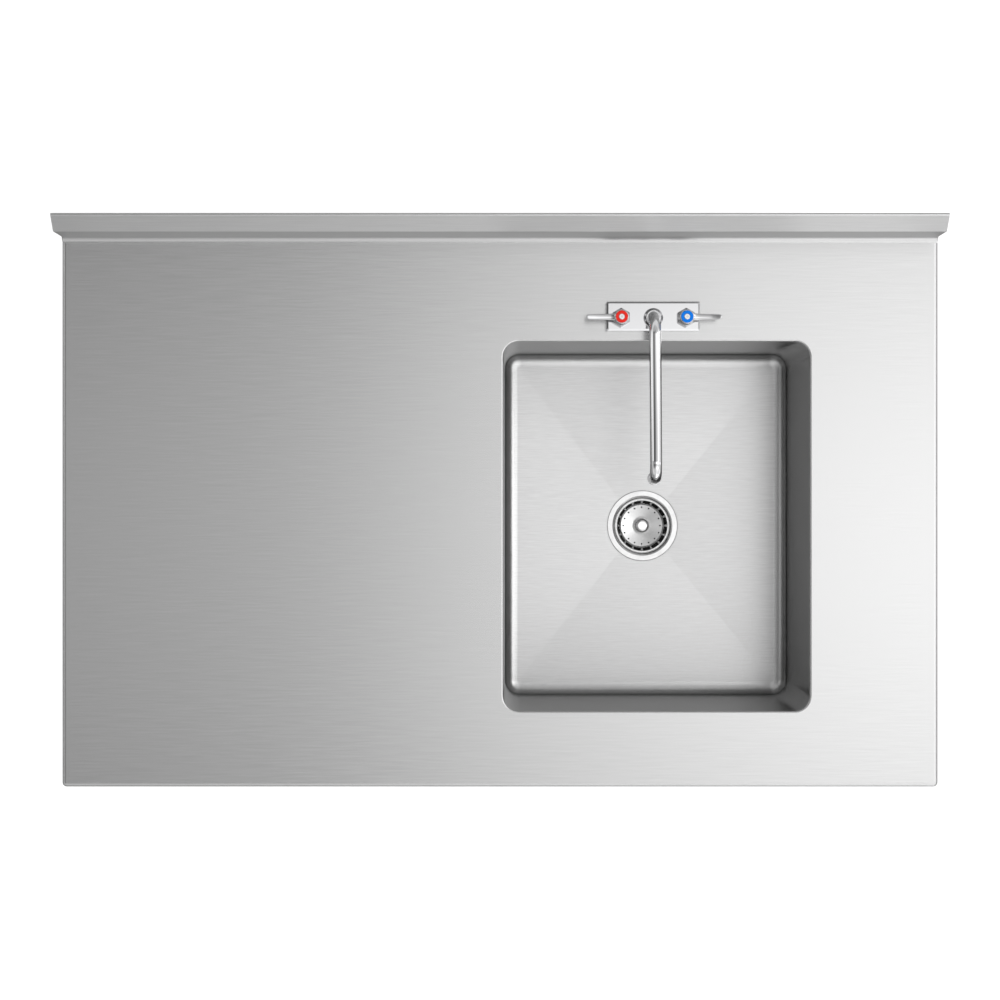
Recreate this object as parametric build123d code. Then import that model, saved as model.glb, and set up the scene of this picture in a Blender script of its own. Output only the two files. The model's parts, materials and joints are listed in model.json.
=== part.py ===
# Sink table: a folded steel worktop with a splash and a deep bowl, a two-lever faucet with a
# swing spout, a basket drain, and a base of tubular legs with an adjustable shelf.
# Millimetres. The origin is on the floor under the middle of the table, +X is to the right
# as seen from the front, +Y is towards the wall and +Z is up.

import os
from math import atan2, copysign, degrees, pi, radians, sqrt, tan

from build123d import *

os.makedirs("parts", exist_ok=True)

# Fits
running_gap = 0.05  # radial, a turning or sliding piece in its bore
seat_gap = 0.05  # radial, a fixed piece in its bore
rest_gap = 0.1  # under a moving piece that stands on its stop
clear_gap = 0.5  # between a moving piece and what it only passes
past = 1.0  # how far a cutting shape reaches past the face that it opens

# Worktop
table_width = 1219.2
working_height = 901.7
top_sheet = 1.5
apron_height = 50.8
edge_bend = 4.0  # inner radius of the turned-down edges
corner_bend = 4.5  # inner radius of the front corners

# Splash
splash_height = 101.6
splash_run = 23.6  # how far the sloped top reaches back to the wall
splash_slope = 50.0  # degrees above level
splash_cove = 8.0  # radius between the top and the face
splash_lap = 24.0  # how far the splash's sheet runs on as the flat top
splash_bend = 1.0  # inner radius where the face meets the slope
splash_roll = 0.8  # inner radius along the back edge
splash_flange = 25.4  # turned down against the wall
splash_end_edge = 1.3  # radius along the sheet's two ends

# Bowl
bowl_width = 427.0
bowl_length = 515.2
bowl_to_side = 178.1  # from the bowl's right wall to the table's right side
bowl_to_front = 105.1
bowl_depth = 304.8  # to the floor at the drain
bowl_corner = 22.0
bowl_draft = 3.0  # how far each wall leans in
bowl_bottom = 19.0  # radius between walls and floor
bowl_sheet = 1.2
floor_fall = 2.4  # from the floor's edge to the drain
floor_land = 36.0  # side of the lowest part of the floor
rim_roll = 2.3  # radius of the top's edge round the bowl
rim_lip = 8.0  # how far that edge turns down

# Drain
drain_shift_x = -4.3  # from the bowl's middle
drain_shift_y = -2.0
flange_radius = 52.75
flange_thick = 2.0
flange_bevel = 0.8
flange_recess = 0.4  # how far the recess goes below the floor
recess_gap = 1.0
mouth_radius = 45.0
mouth_lip = 1.6  # width of the softened edge at the top of the mouth
mouth_lip_drop = 0.7
neck_radius = 43.4
neck_bore = 41.6
neck_drop = 36.0
cup_radius = 40.0
ledge_drop = 7.5
cup_drop = 46.0
outlet_radius = 23.5
outlet_bore = 19.5
outlet_drop = 66.0
drain_hole_gap = 1.05
gasket_thick = 3.0
gasket_radius = 54.0
friction_ring_thick = 1.2
locknut_radius = 54.0
locknut_height = 12.0
locknut_lugs = 8
locknut_lug_depth = 3.2
locknut_rim = 3.0  # height of the plain rim above the lugs
washer_thick = 2.0
tailpiece_radius = 19.05
tailpiece_neck = 18.6
tailpiece_wall = 1.0
tailpiece_length = 101.6
tailpiece_rim = 22.8
tailpiece_rim_thick = 1.2
coupling_radius = 29.0
coupling_height = 24.0
coupling_floor = 3.0
coupling_lugs = 8
coupling_lug_depth = 1.8

# Basket
basket_radius = 40.4  # to the middle of the rolled rim
basket_roll = 0.9
basket_sheet = 0.9
basket_wall_top = 39.2
basket_wall_low = 34.4
basket_wall_drop = 22.0
basket_dish = 31.6
basket_dish_drop = 24.2
basket_middle_drop = 27.0
basket_slots = 16
slot_width = 11.0
slot_inner = 33.0
slot_outer = 38.8
slot_drop = 8.4
drain_holes = 16
drain_hole_radius = 1.1
drain_hole_ring = 27.7
knob_radius = 11.0
knob_drop = 10.0
knob_cap = 6.5
knob_crown = 5.0  # radius that rounds the cap's top
knob_edge = 1.2  # radius under the cap
knob_under = 2.0  # how far the cap's underside slopes
knob_neck = 4.6
knob_foot = 9.0
knob_foot_edge = 1.0
knob_flare = 2.4
post_radius = 3.0
post_head = 5.5
post_head_thick = 1.5
stopper_radius = 25.5
stopper_thick = 5.0
stopper_flat = 11.0  # radius that touches the basket
stopper_dish = 0.6
stopper_lean = 2.5

# Faucet
faucet_shift = -6.0  # along X, from the bowl's middle
bowl_to_faucet = 30.8  # from the bowl's rear wall to the line of the stems and the riser
faucet_to_splash = 113.9
valve_spacing = 89.7
plate_width = 129.3
plate_depth = 40.4
plate_shift = 2.6  # how far the plate's middle lies behind the stems
plate_height = 22.5
plate_bevel = 2.6
plate_corner = 1.6
faucet_gasket_thick = 1.5
faucet_gasket_inset = 1.0
valve_bore = 11.0
valve_bore_depth = 12.5
bonnet_flats = 23.2
bonnet_height = 13.0
bonnet_face = 11.3  # radius of its flat top
bonnet_skirt = 9.1  # inner radius of the part that reaches into the body
stem_disc = 8.9
stem_disc_thick = 3.0
stem_radius = 5.0
stem_head = 4.4
stem_head_length = 13.0
cartridge_port = 3.2
cartridge_port_offset = 4.6
hub_radius = 11.0
hub_top_radius = 9.9
hub_height = 18.2
hub_edge = 1.2
index_radius = 8.35
index_thick = 2.3
index_proud = 0.3
index_edge = 0.5
screw_radius = 4.1
screw_head_thick = 2.8
screw_shank = 1.8
screw_shank_length = 6.0
screw_edge = 0.6
recess_length = 2.8  # of one arm pair of the cross recess
recess_width = 0.7
recess_depth = 0.8
lever_thick = 4.6
lever_sections = (  # reach from the stem, width, thickness and rise of the middle
    (0.0, 9.0, lever_thick, 0.0),
    (34.0, 7.5, lever_thick, 0.8),
    (45.1, 6.8, 4.1, 4.1),
    (47.9, 5.1, 3.2, 5.5),
    (48.5, 3.1, 1.8, 5.8),
)
lever_roundness = 0.4  # corner radius as a share of the thickness
lever_low = 7.0  # underside above the bottom of the hub
shank_radius = 10.6
shank_bore = 6.0
shank_reach = 56.0
inlet_radius = 10.2
inlet_length = 22.0
shank_hole_gap = 2.1
shank_grip = 8.0  # how far the shank reaches into the body
shank_washer_radius = 17.0
shank_washer_thick = 1.0
shank_nut_flats = 29.0
shank_nut_height = 8.0
shank_nut_bevel = 1.0
waterway = 4.0

# Spout
spout_radius = 8.25
spout_wall = 1.5
spout_reach = 221.8
spout_knee = 71.2  # height where the riser's line meets the arm's line
spout_crown = 95.7  # height where the arm's line meets the drop's line
spout_knee_radius = 32.0
spout_crown_radius = 25.0
spout_end = 50.0  # height of the tube's end
spigot_radius = 8.9
spigot_depth = 14.0
collar_radius = 13.4
collar_height = 10.0
collar_top_radius = 10.2
collar_band = 5.5  # height of its straight side
collar_shoulder = 2.4
collar_edge = 1.0
ring_minor = 0.9
ring_height = 5.0  # above the spigot's end
aerator_radius = 9.5
aerator_height = 15.0
aerator_grip = 9.0
aerator_lip = 6.6
aerator_low_edge = 0.8
aerator_high_edge = 0.6
aerator_floor = 1.2
screen_thick = 1.2
screen_hole = 0.9
screen_rings = ((0.0, 1), (2.6, 6), (5.2, 12))  # radius and count of holes

# Frame under the top
channel_width = 84.0
channel_crown = 60.0
channel_height = 25.4
channel_sheet = 1.5
leg_to_side = 64.6
leg_to_front = 54.3
leg_to_wall = 69.3
cross_channel_gap = 4.0
middle_channel_gap = 12.0

# Legs and feet
leg_radius = 20.65
leg_wall = 1.5
socket_wall = 3.8
socket_depth = 50.0
socket_edge = 1.5
socket_plate = 60.0
socket_plate_corner = 6.0
socket_plate_thick = 3.0
set_screw_radius = 4.0
set_screw_bite = 5.2
insert_flange = 2.0
insert_length = 30.0
foot_stem_radius = 8.0
foot_stem_length = 45.0
foot_height = 38.0
foot_top_radius = 19.0
foot_base_radius = 13.0
foot_cone = 25.0  # height at which its side turns upright
foot_toe = 3.0  # radii of its three edges
foot_shoulder = 12.0
foot_top_edge = 1.5

# Shelf
shelf_height = 254.0
shelf_sheet = 1.2
shelf_edge = 38.0
shelf_bend = 2.0
shelf_notch = 32.0
clamp_gap = 0.1
clamp_wall = 7.0
clamp_height = 38.0
clamp_arm = 76.0
clamp_arm_width = 40.0
clamp_arm_thick = 8.0
clamp_arm_corner = 6.0
clamp_rib_thick = 6.0
clamp_rib_low = 4.0  # above the bottom of the ring
clamp_rib_out = 2.0
clamp_screw_proud = 1.5
shelf_bolt_reach = 56.0
shelf_bolt_radius = 3.0
shelf_bolt_head = 5.5
shelf_bolt_head_height = 3.3
shelf_bolt_crown = 4.4  # radius where the domed head flattens
shelf_bolt_side = 2.5
shelf_bolt_tail = 2.0  # past the nut
shelf_nut_flats = 10.0
shelf_nut_height = 5.0

# Places that follow from the sizes above
front_to_splash = bowl_to_front + bowl_length + bowl_to_faucet + faucet_to_splash
table_depth = front_to_splash + splash_run
front_y = -table_depth / 2
rear_y = table_depth / 2
splash_y = front_y + front_to_splash
top_z = working_height
bowl_x = table_width / 2 - bowl_to_side - bowl_width / 2
bowl_y = front_y + bowl_to_front + bowl_length / 2
rim_z = top_z - rim_lip
floor_z = top_z - bowl_depth
floor_edge_z = floor_z + floor_fall
drain_x = bowl_x + drain_shift_x
drain_y = bowl_y + drain_shift_y
recess_z = floor_z - flange_recess
flange_z = recess_z + flange_thick
under_bowl_z = recess_z - bowl_sheet
friction_z = under_bowl_z - gasket_thick
locknut_z = friction_z - friction_ring_thick
outlet_z = flange_z - outlet_drop
tailpiece_z = outlet_z - washer_thick
coupling_z = tailpiece_z - tailpiece_rim_thick - coupling_floor
faucet_x = bowl_x + faucet_shift
faucet_y = splash_y - faucet_to_splash
hot_x = faucet_x - valve_spacing / 2
cold_x = faucet_x + valve_spacing / 2
plate_y = faucet_y + plate_shift
plate_low_z = top_z + faucet_gasket_thick
plate_z = plate_low_z + plate_height
valve_floor_z = plate_z - valve_bore_depth
bonnet_z = plate_z + bonnet_height
hub_z = bonnet_z + clear_gap
hub_top_z = hub_z + hub_height
index_z = hub_top_z + index_proud - index_thick
screw_low_z = index_z - screw_shank_length
channel_z = top_z - top_sheet - channel_height
socket_z = channel_z - socket_plate_thick
leg_low_z = foot_height + rest_gap + insert_flange
shelf_low_z = shelf_height - shelf_sheet
leg_x = table_width / 2 - leg_to_side
leg_front_y = front_y + leg_to_front
leg_rear_y = rear_y - leg_to_wall
legs = {
    "front_left": (-leg_x, leg_front_y),
    "front_right": (leg_x, leg_front_y),
    "rear_left": (-leg_x, leg_rear_y),
    "rear_right": (leg_x, leg_rear_y),
}


def slab(sketch, low, high):
    """A sketch drawn on the XY plane, made solid from one height to another."""
    return extrude(Pos(0, 0, low) * sketch, amount=high - low)


def rod(radius, low, high):
    """A round bar on the Z axis from one height to another."""
    return slab(Circle(radius), low, high)


def turned(points, radius=0.0):
    """A solid turned about Z from a closed outline of (radius, height) points."""
    outline = FilletPolyline(*points, radius=radius, close=True)
    return revolve(Plane.XZ * make_face(outline), Axis.Z)


def hexagon(flats):
    """A hexagon with corners front and rear."""
    return RegularPolygon(flats / 2, 6, major_radius=False, rotation=30)


def lugged_ring(outer, lugs, lug_depth, low, high):
    """A round nut's outside with evenly spaced lugs for a wrench."""
    lug_width = pi * outer / lugs / 2
    ring = rod(outer - lug_depth, low, high)
    for step in range(lugs):
        lug = Pos(outer - lug_depth, 0, (low + high) / 2) * Box(2 * lug_depth, lug_width, high - low)
        ring += Rot(0, 0, 360 / lugs * step) * lug
    return ring


def group(solids):
    """Like pieces that share one node, each still its own solid."""
    return Compound(children=[solid for piece in solids for solid in piece.solids()])


def top_block(inset):
    """The block under the flat top, shrunk by inset on its closed sides."""
    width = table_width - 2 * inset
    low_y = front_y + inset
    length = splash_y + top_sheet + inset - low_y
    centre = Pos(0, low_y + length / 2, top_z - inset - apron_height / 2)
    block = centre * Box(width, length, apron_height)
    uprights = block.edges().filter_by(Axis.Z).group_by(Axis.Y)[0]
    block = fillet(uprights, corner_bend + top_sheet - inset)
    border = block.faces().sort_by(Axis.Z)[-1].edges().sort_by(Axis.Y)[:-1]
    return fillet(border, edge_bend + top_sheet - inset)


def splash_path():
    """The seen side of the splash, from the flat top to the edge that lies on the wall."""
    roll = splash_roll + top_sheet
    half_corner = radians(90 - splash_slope) / 2
    corner_z = top_z + splash_height + roll * (1 / tan(half_corner) - 1)
    bend_z = corner_z - splash_run * tan(radians(splash_slope))
    return FilletPolyline(
        (splash_y - splash_lap, top_z),
        (splash_y, top_z),
        (splash_y, bend_z),
        (rear_y, corner_z),
        (rear_y, top_z + splash_height - splash_flange),
        radius=[splash_cove, splash_bend + top_sheet, roll],
    )


def splash_strip():
    """The sheet of the splash over the table's whole width."""
    path = splash_path()
    section = make_face(offset(path, amount=top_sheet, side=Side.RIGHT))
    strip = extrude(Plane.YZ * section, amount=table_width / 2, both=True)
    outer = []
    for edge in strip.edges() - strip.edges().filter_by(Axis.X):
        middle = edge @ 0.5
        if path.distance_to((middle.Y, middle.Z, 0)) < seat_gap:
            outer.append(edge)
    strip = fillet(outer, splash_end_edge)
    over_top = Pos(0, splash_y, top_z + splash_height) * Box(
        table_width, 4 * front_to_splash, 2 * splash_height
    )
    return strip & (top_block(0) + over_top)


def worktop():
    """The folded sheet: flat top, turned-down edges, splash and the holes in it."""
    sheet = top_block(0) - top_block(top_sheet)
    rear_cut = Pos(0, splash_y - splash_cove + front_to_splash / 2, top_z) * Box(
        table_width - 2 * (edge_bend + top_sheet), front_to_splash, 2 * apron_height
    )
    sheet = sheet - rear_cut + splash_strip()
    opening = RectangleRounded(bowl_width, bowl_length, bowl_corner)
    lip = RectangleRounded(
        bowl_width + 2 * top_sheet, bowl_length + 2 * top_sheet, bowl_corner + top_sheet
    )
    place = Pos(bowl_x, bowl_y, 0)
    sheet = sheet + place * slab(lip, rim_z, top_z)
    sheet = sheet - place * slab(opening, rim_z - past, top_z + past)
    rim = [
        edge
        for edge in sheet.edges().filter_by_position(Axis.Z, top_z, top_z)
        if abs(edge.center().X - bowl_x) < bowl_width / 2 + top_sheet / 2
        and abs(edge.center().Y - bowl_y) < bowl_length / 2 + top_sheet / 2
        and edge.length < 2 * bowl_length
    ]
    sheet = fillet(rim, rim_roll)
    for x in (hot_x, cold_x):
        hole = rod(shank_radius + shank_hole_gap, top_z - 2 * top_sheet, top_z + past)
        sheet -= Pos(x, faucet_y, 0) * hole
    return sheet


def splash_end(side):
    """The plate that closes one end of the splash."""
    low = top_z - apron_height
    path = splash_path()
    outline = path.edges() + [
        Line(path @ 1, (rear_y, low)),
        Line((rear_y, low), (splash_y - splash_lap, low)),
        Line((splash_y - splash_lap, low), path @ 0),
    ]
    plate = extrude(Plane.YZ * make_face(outline), amount=top_sheet)
    behind = Pos(0, splash_y + top_sheet + front_to_splash / 2, top_z) * Box(
        4 * top_sheet, front_to_splash, 2 * (apron_height + splash_height)
    )
    plate = Pos(side * (table_width / 2 - top_sheet / 2) - top_sheet / 2, 0, 0) * (plate & behind)
    return plate - splash_strip()


def bowl_form(wall):
    """The space inside the bowl, grown by wall on every closed side."""
    low_width = bowl_width - 2 * bowl_draft
    low_length = bowl_length - 2 * bowl_draft
    centre = Pos(bowl_x, bowl_y, 0)
    mouth = RectangleRounded(bowl_width + 2 * wall, bowl_length + 2 * wall, bowl_corner + wall)
    base = RectangleRounded(low_width + 2 * wall, low_length + 2 * wall, bowl_corner + wall)
    walls = loft(
        [centre * Pos(0, 0, rim_z) * mouth, centre * Pos(0, 0, floor_edge_z - wall) * base],
        ruled=True,
    )
    walls = fillet(walls.edges().group_by(Axis.Z)[0], bowl_bottom + wall)
    flat_width = low_width - 2 * bowl_bottom
    flat_length = low_length - 2 * bowl_bottom
    floor = loft(
        [
            centre * Pos(0, 0, floor_edge_z - wall) * Rectangle(flat_width, flat_length),
            Pos(drain_x, drain_y, floor_z - wall) * Rectangle(floor_land, floor_land),
        ],
        ruled=True,
    )
    recess = rod(flange_radius + recess_gap + wall, recess_z - wall, floor_edge_z - wall / 2)
    return walls + floor + Pos(drain_x, drain_y, 0) * recess


def sink_bowl():
    """The bowl, with walls that lean in and four floor panels that fall to the drain."""
    hole = rod(neck_radius + drain_hole_gap, recess_z - 2 * bowl_sheet, recess_z + past)
    return bowl_form(bowl_sheet) - bowl_form(0) - Pos(drain_x, drain_y, 0) * hole


def at_drain(solid):
    """A drain piece, drawn about Z with heights from the flange's top, in its place."""
    return Pos(drain_x, drain_y, flange_z) * solid


def strainer_body():
    """The drain's body: flange, threaded neck, ledge for the basket and outlet."""
    wall = neck_radius - neck_bore
    cone = (outlet_bore + cup_radius) / 2
    return at_drain(
        turned(
            [
                (flange_radius - flange_bevel, 0),
                (mouth_radius, 0),
                (mouth_radius - mouth_lip, -mouth_lip_drop),
                (neck_bore + mouth_lip / 2, -flange_thick),
                (neck_bore, -ledge_drop),
                (cup_radius, -ledge_drop),
                (cup_radius, -neck_drop + wall),
                (cone, -cup_drop + wall),
                (outlet_bore, -cup_drop),
                (outlet_bore, -outlet_drop),
                (outlet_radius, -outlet_drop),
                (outlet_radius, -cup_drop - wall),
                (cone, -cup_drop - wall),
                (neck_radius, -neck_drop - wall),
                (neck_radius, -flange_thick),
                (flange_radius, -flange_thick),
                (flange_radius, -flange_bevel),
            ]
        )
    )


def ring_under_bowl(outer, thick, top):
    """A flat ring round the drain's neck, hanging from a height."""
    inner = neck_radius + seat_gap
    return Pos(drain_x, drain_y, 0) * (rod(outer, top - thick, top) - rod(inner, top - thick, top))


def drain_locknut():
    """The large nut that pulls the drain's body down on the bowl."""
    low = locknut_z - locknut_height
    nut = lugged_ring(locknut_radius, locknut_lugs, locknut_lug_depth, low, locknut_z)
    nut += rod(locknut_radius, locknut_z - locknut_rim, locknut_z)
    return Pos(drain_x, drain_y, 0) * (nut - rod(neck_radius + seat_gap, low, locknut_z))


def tailpiece_washer():
    """The soft washer between the drain's outlet and the tailpiece."""
    ring = rod(tailpiece_rim, tailpiece_z, outlet_z) - rod(outlet_bore, tailpiece_z, outlet_z)
    return Pos(drain_x, drain_y, 0) * ring


def tailpiece():
    """The straight pipe that the waste trap slips onto."""
    rim_low = -tailpiece_rim_thick
    neck_low = coupling_z - tailpiece_z - clear_gap
    inner = tailpiece_radius - tailpiece_wall
    pipe = turned(
        [
            (inner, 0),
            (tailpiece_rim, 0),
            (tailpiece_rim, rim_low),
            (tailpiece_neck, rim_low),
            (tailpiece_neck, neck_low),
            (tailpiece_radius, neck_low),
            (tailpiece_radius, -tailpiece_length),
            (inner, -tailpiece_length),
        ]
    )
    return Pos(drain_x, drain_y, tailpiece_z) * pipe


def tailpiece_nut():
    """The coupling nut that holds the tailpiece up against the outlet."""
    high = coupling_z + coupling_height
    nut = lugged_ring(coupling_radius, coupling_lugs, coupling_lug_depth, coupling_z, high)
    nut -= rod(outlet_radius + seat_gap, coupling_z + coupling_floor, high)
    nut -= rod(tailpiece_neck + seat_gap, coupling_z, high)
    return Pos(drain_x, drain_y, 0) * nut


def basket_cup():
    """The lift-out basket: rolled rim, slotted wall and dished floor with small holes."""
    rim_drop = ledge_drop - rest_gap - basket_roll
    rim = Pos(0, 0, -rim_drop) * Torus(basket_radius, basket_roll)
    sheet = basket_sheet
    shell = turned(
        [
            (basket_radius, -rim_drop + sheet / 2),
            (basket_wall_top - sheet, -rim_drop + sheet / 2),
            (basket_wall_low - sheet, -basket_wall_drop),
            (basket_dish - sheet / 2, -basket_dish_drop),
            (post_radius, -basket_middle_drop),
            (post_radius, -basket_middle_drop - sheet),
            (basket_dish, -basket_dish_drop - sheet),
            (basket_wall_low, -basket_wall_drop),
            (basket_wall_top, -rim_drop - sheet / 2),
            (basket_radius, -rim_drop - sheet / 2),
        ]
    )
    cup = rim + shell
    depth = basket_dish_drop + 2 * sheet - slot_drop
    slot = Box(slot_outer - slot_inner, slot_width, depth)
    slot = Pos((slot_outer + slot_inner) / 2, 0, -slot_drop - depth / 2) * slot
    for step in range(basket_slots):
        cup -= Rot(0, 0, 360 / basket_slots * (step + 0.5)) * slot
    hole = Pos(drain_hole_ring, 0, 0) * rod(drain_hole_radius, -2 * basket_middle_drop, 0)
    for step in range(drain_holes):
        cup -= Rot(0, 0, 360 / drain_holes * step) * hole
    return at_drain(cup)


def basket_knob():
    """The knob that the basket is lifted by."""
    cap_low = -knob_drop - knob_cap
    foot_low = -basket_middle_drop + 3 * basket_sheet
    bore = post_radius + seat_gap
    knob = turned(
        [
            (0, -knob_drop),
            (knob_radius, -knob_drop),
            (knob_radius, cap_low),
            (knob_neck, cap_low - knob_under),
            (knob_neck, foot_low + knob_foot_edge),
            (knob_foot, foot_low + knob_foot_edge),
            (knob_foot, foot_low),
            (bore, -basket_middle_drop + seat_gap),
            (bore, cap_low),
            (0, cap_low),
        ],
        radius=[0.0, knob_crown, knob_edge, knob_flare, knob_flare, 0.0, 0.0, 0.0, 0.0, 0.0],
    )
    return at_drain(knob)


def basket_post():
    """The rivet through the knob, the basket's floor and the stopper."""
    head_z = -basket_middle_drop - basket_sheet - stopper_thick
    low = head_z - post_head_thick
    post = rod(post_radius - seat_gap, low, -knob_drop - knob_cap - seat_gap)
    return at_drain(post + rod(post_head, low, head_z))


def basket_stopper():
    """The rubber disc that closes the drain when the basket is pushed down."""
    top = -basket_middle_drop - basket_sheet
    return at_drain(
        turned(
            [
                (post_radius, top),
                (stopper_flat, top),
                (stopper_radius, top - stopper_dish),
                (stopper_radius - stopper_lean, top - stopper_thick),
                (post_radius, top - stopper_thick),
            ]
        )
    )


def faucet_gasket():
    """The flat gasket between the faucet and the top."""
    plan = RectangleRounded(
        plate_width - 2 * faucet_gasket_inset, plate_depth - 2 * faucet_gasket_inset, plate_corner
    )
    gasket = Pos(faucet_x, plate_y, 0) * slab(plan, top_z, plate_low_z)
    for x in (hot_x, cold_x):
        gasket -= Pos(x, faucet_y, 0) * rod(shank_radius + clear_gap, top_z, plate_low_z)
    return gasket


def faucet_body():
    """The cast body: bevelled block with two valve bores, a spout socket and waterways."""
    plan = RectangleRounded(plate_width, plate_depth, plate_corner)
    face = RectangleRounded(
        plate_width - 2 * plate_bevel, plate_depth - 2 * plate_bevel, plate_corner / 2
    )
    bevel = loft(
        [Pos(0, 0, plate_z - plate_bevel) * plan, Pos(0, 0, plate_z) * face], ruled=True
    )
    block = slab(plan, plate_low_z, plate_z - plate_bevel) + bevel
    block = Pos(faucet_x, plate_y, 0) * block
    channel_z_mid = valve_floor_z - waterway / 2
    for x in (hot_x, cold_x):
        block -= Pos(x, faucet_y, 0) * rod(valve_bore, valve_floor_z, plate_z)
        block -= Pos(x, faucet_y, 0) * rod(
            shank_radius + seat_gap, plate_low_z, plate_low_z + shank_grip
        )
        block -= Pos(x, faucet_y, 0) * rod(cartridge_port, plate_low_z, plate_z)
    block -= Pos(faucet_x, faucet_y, 0) * rod(
        spigot_radius + running_gap, plate_z - spigot_depth - rest_gap, plate_z
    )
    for side in (-1, 1):
        run = valve_spacing / 2 - cartridge_port_offset
        start = faucet_x + side * run / 2
        passage = Rot(0, 90, 0) * Cylinder(waterway / 2, run)
        block -= Pos(start, faucet_y, channel_z_mid) * passage
        block -= Pos(faucet_x + side * run, faucet_y, 0) * rod(
            waterway / 2, channel_z_mid, valve_floor_z + past
        )
    return block


def at_valve(x, solid):
    """A valve piece drawn about Z, in its place on one of the two stems' axes."""
    return Pos(x, faucet_y, 0) * solid


def bonnet(x):
    """The hexagonal bonnet that closes a valve and guides its stem."""
    head = slab(hexagon(bonnet_flats), plate_z, bonnet_z)
    cone = turned(
        [
            (0, bonnet_z),
            (bonnet_face, bonnet_z),
            (bonnet_face + bonnet_height, plate_z),
            (0, plate_z),
        ]
    )
    skirt_low = valve_floor_z + valve_bore_depth / 2
    skirt = rod(valve_bore - seat_gap, skirt_low, plate_z)
    hollow = rod(bonnet_skirt, skirt_low, plate_z + clear_gap)
    bore = rod(stem_radius + running_gap, skirt_low, bonnet_z)
    return at_valve(x, (head & cone) + skirt - hollow - bore)


def cartridge(x, side):
    """The fixed ceramic seat of a valve, with its two ports."""
    high = valve_floor_z + valve_bore_depth / 2 - seat_gap
    disc = rod(valve_bore - seat_gap, valve_floor_z, high)
    disc -= rod(cartridge_port, valve_floor_z, high)
    port = rod(waterway / 2, valve_floor_z, high)
    disc -= Pos(side * (valve_bore - waterway), 0, 0) * port
    return at_valve(x, disc)


def stem(x):
    """The turning stem, with its disc on the seat and a head that the lever sits on."""
    low = valve_floor_z + valve_bore_depth / 2 + rest_gap
    disc_high = low + stem_disc_thick
    head_z = hub_z + stem_head_length
    shaft = rod(stem_disc, low, disc_high) + rod(stem_radius, disc_high, hub_z)
    shaft += rod(stem_head, hub_z, head_z)
    return at_valve(x, shaft - rod(screw_shank + seat_gap, screw_low_z - clear_gap, head_z))


def lever_blade():
    """The lever's blade, reaching along +X and turned up at its rounded tip."""
    middle = hub_z + lever_low + lever_thick / 2
    sections = []
    for reach, width, thick, rise in lever_sections:
        place = Plane(origin=(reach, 0, middle + rise), x_dir=(0, 1, 0), z_dir=(1, 0, 0))
        sections.append(place * RectangleRounded(width, thick, thick * lever_roundness))
    return loft(sections, ruled=True)


def lever(x, side):
    """A handle: hub over the stem, recess for the index ring and a blade to one side."""
    hub = turned(
        [(0, hub_z), (hub_radius, hub_z), (hub_top_radius, hub_top_z), (0, hub_top_z)],
        radius=[0.0, 0.0, hub_edge, 0.0],
    )
    blade = lever_blade()
    if side < 0:
        blade = Rot(0, 0, 180) * blade
    handle = hub + blade
    handle -= rod(index_radius + seat_gap, index_z, hub_top_z)
    handle -= rod(stem_head + seat_gap, hub_z, hub_z + stem_head_length)
    handle -= rod(screw_shank + seat_gap, hub_z, hub_top_z)
    return at_valve(x, handle)


def index_ring(x):
    """The coloured ring in the top of a handle."""
    high = hub_top_z + index_proud
    ring = turned(
        [
            (screw_radius + seat_gap, index_z),
            (index_radius, index_z),
            (index_radius, high - index_edge),
            (index_radius - index_edge, high),
            (screw_radius + seat_gap, high),
        ]
    )
    return at_valve(x, ring)


def handle_screw(x):
    """The screw in the middle of an index ring, with a cross recess."""
    high = index_z + screw_head_thick
    screw = turned(
        [
            (0, screw_low_z),
            (screw_shank, screw_low_z),
            (screw_shank, index_z),
            (screw_radius, index_z),
            (screw_radius, high - screw_edge),
            (screw_radius - screw_edge, high),
            (0, high),
        ]
    )
    for turn in (0, 90):
        slot = Box(recess_length, recess_width, 2 * recess_depth)
        screw -= Pos(0, 0, high) * Rot(0, 0, turn) * slot
    return at_valve(x, screw)


def shank(x):
    """The threaded inlet pipe under a valve; its plain end takes the supply pipe."""
    low = top_z - shank_reach
    pipe = rod(shank_radius, low + inlet_length, plate_low_z + shank_grip)
    pipe += rod(inlet_radius, low, low + inlet_length)
    return at_valve(x, pipe - rod(shank_bore, low, plate_low_z + shank_grip))


def shank_washers():
    """The washers under the top, one on each inlet pipe."""
    high = top_z - top_sheet
    low = high - shank_washer_thick
    ring = rod(shank_washer_radius, low, high) - rod(shank_radius + seat_gap, low, high)
    return group([at_valve(hot_x, ring), at_valve(cold_x, ring)])


def shank_locknuts():
    """The nuts that hold the faucet down, one on each inlet pipe."""
    high = top_z - top_sheet - shank_washer_thick
    low = high - shank_nut_height
    nut = slab(hexagon(shank_nut_flats), low, high)
    nut = chamfer(nut.edges().group_by(Axis.Z)[0], shank_nut_bevel)
    nut -= rod(shank_radius + seat_gap, low, high)
    return group([at_valve(hot_x, nut), at_valve(cold_x, nut)])


def spout_sweep(radius, start, end):
    """A round bar that follows the spout from its riser to the end of its drop."""
    path = FilletPolyline(
        (faucet_x, faucet_y, start),
        (faucet_x, faucet_y, top_z + spout_knee),
        (faucet_x, faucet_y - spout_reach, top_z + spout_crown),
        (faucet_x, faucet_y - spout_reach, end),
        radius=[spout_knee_radius, spout_crown_radius],
    )
    return sweep(Plane(path @ 0, z_dir=path % 0) * Circle(radius), path=path)


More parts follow.
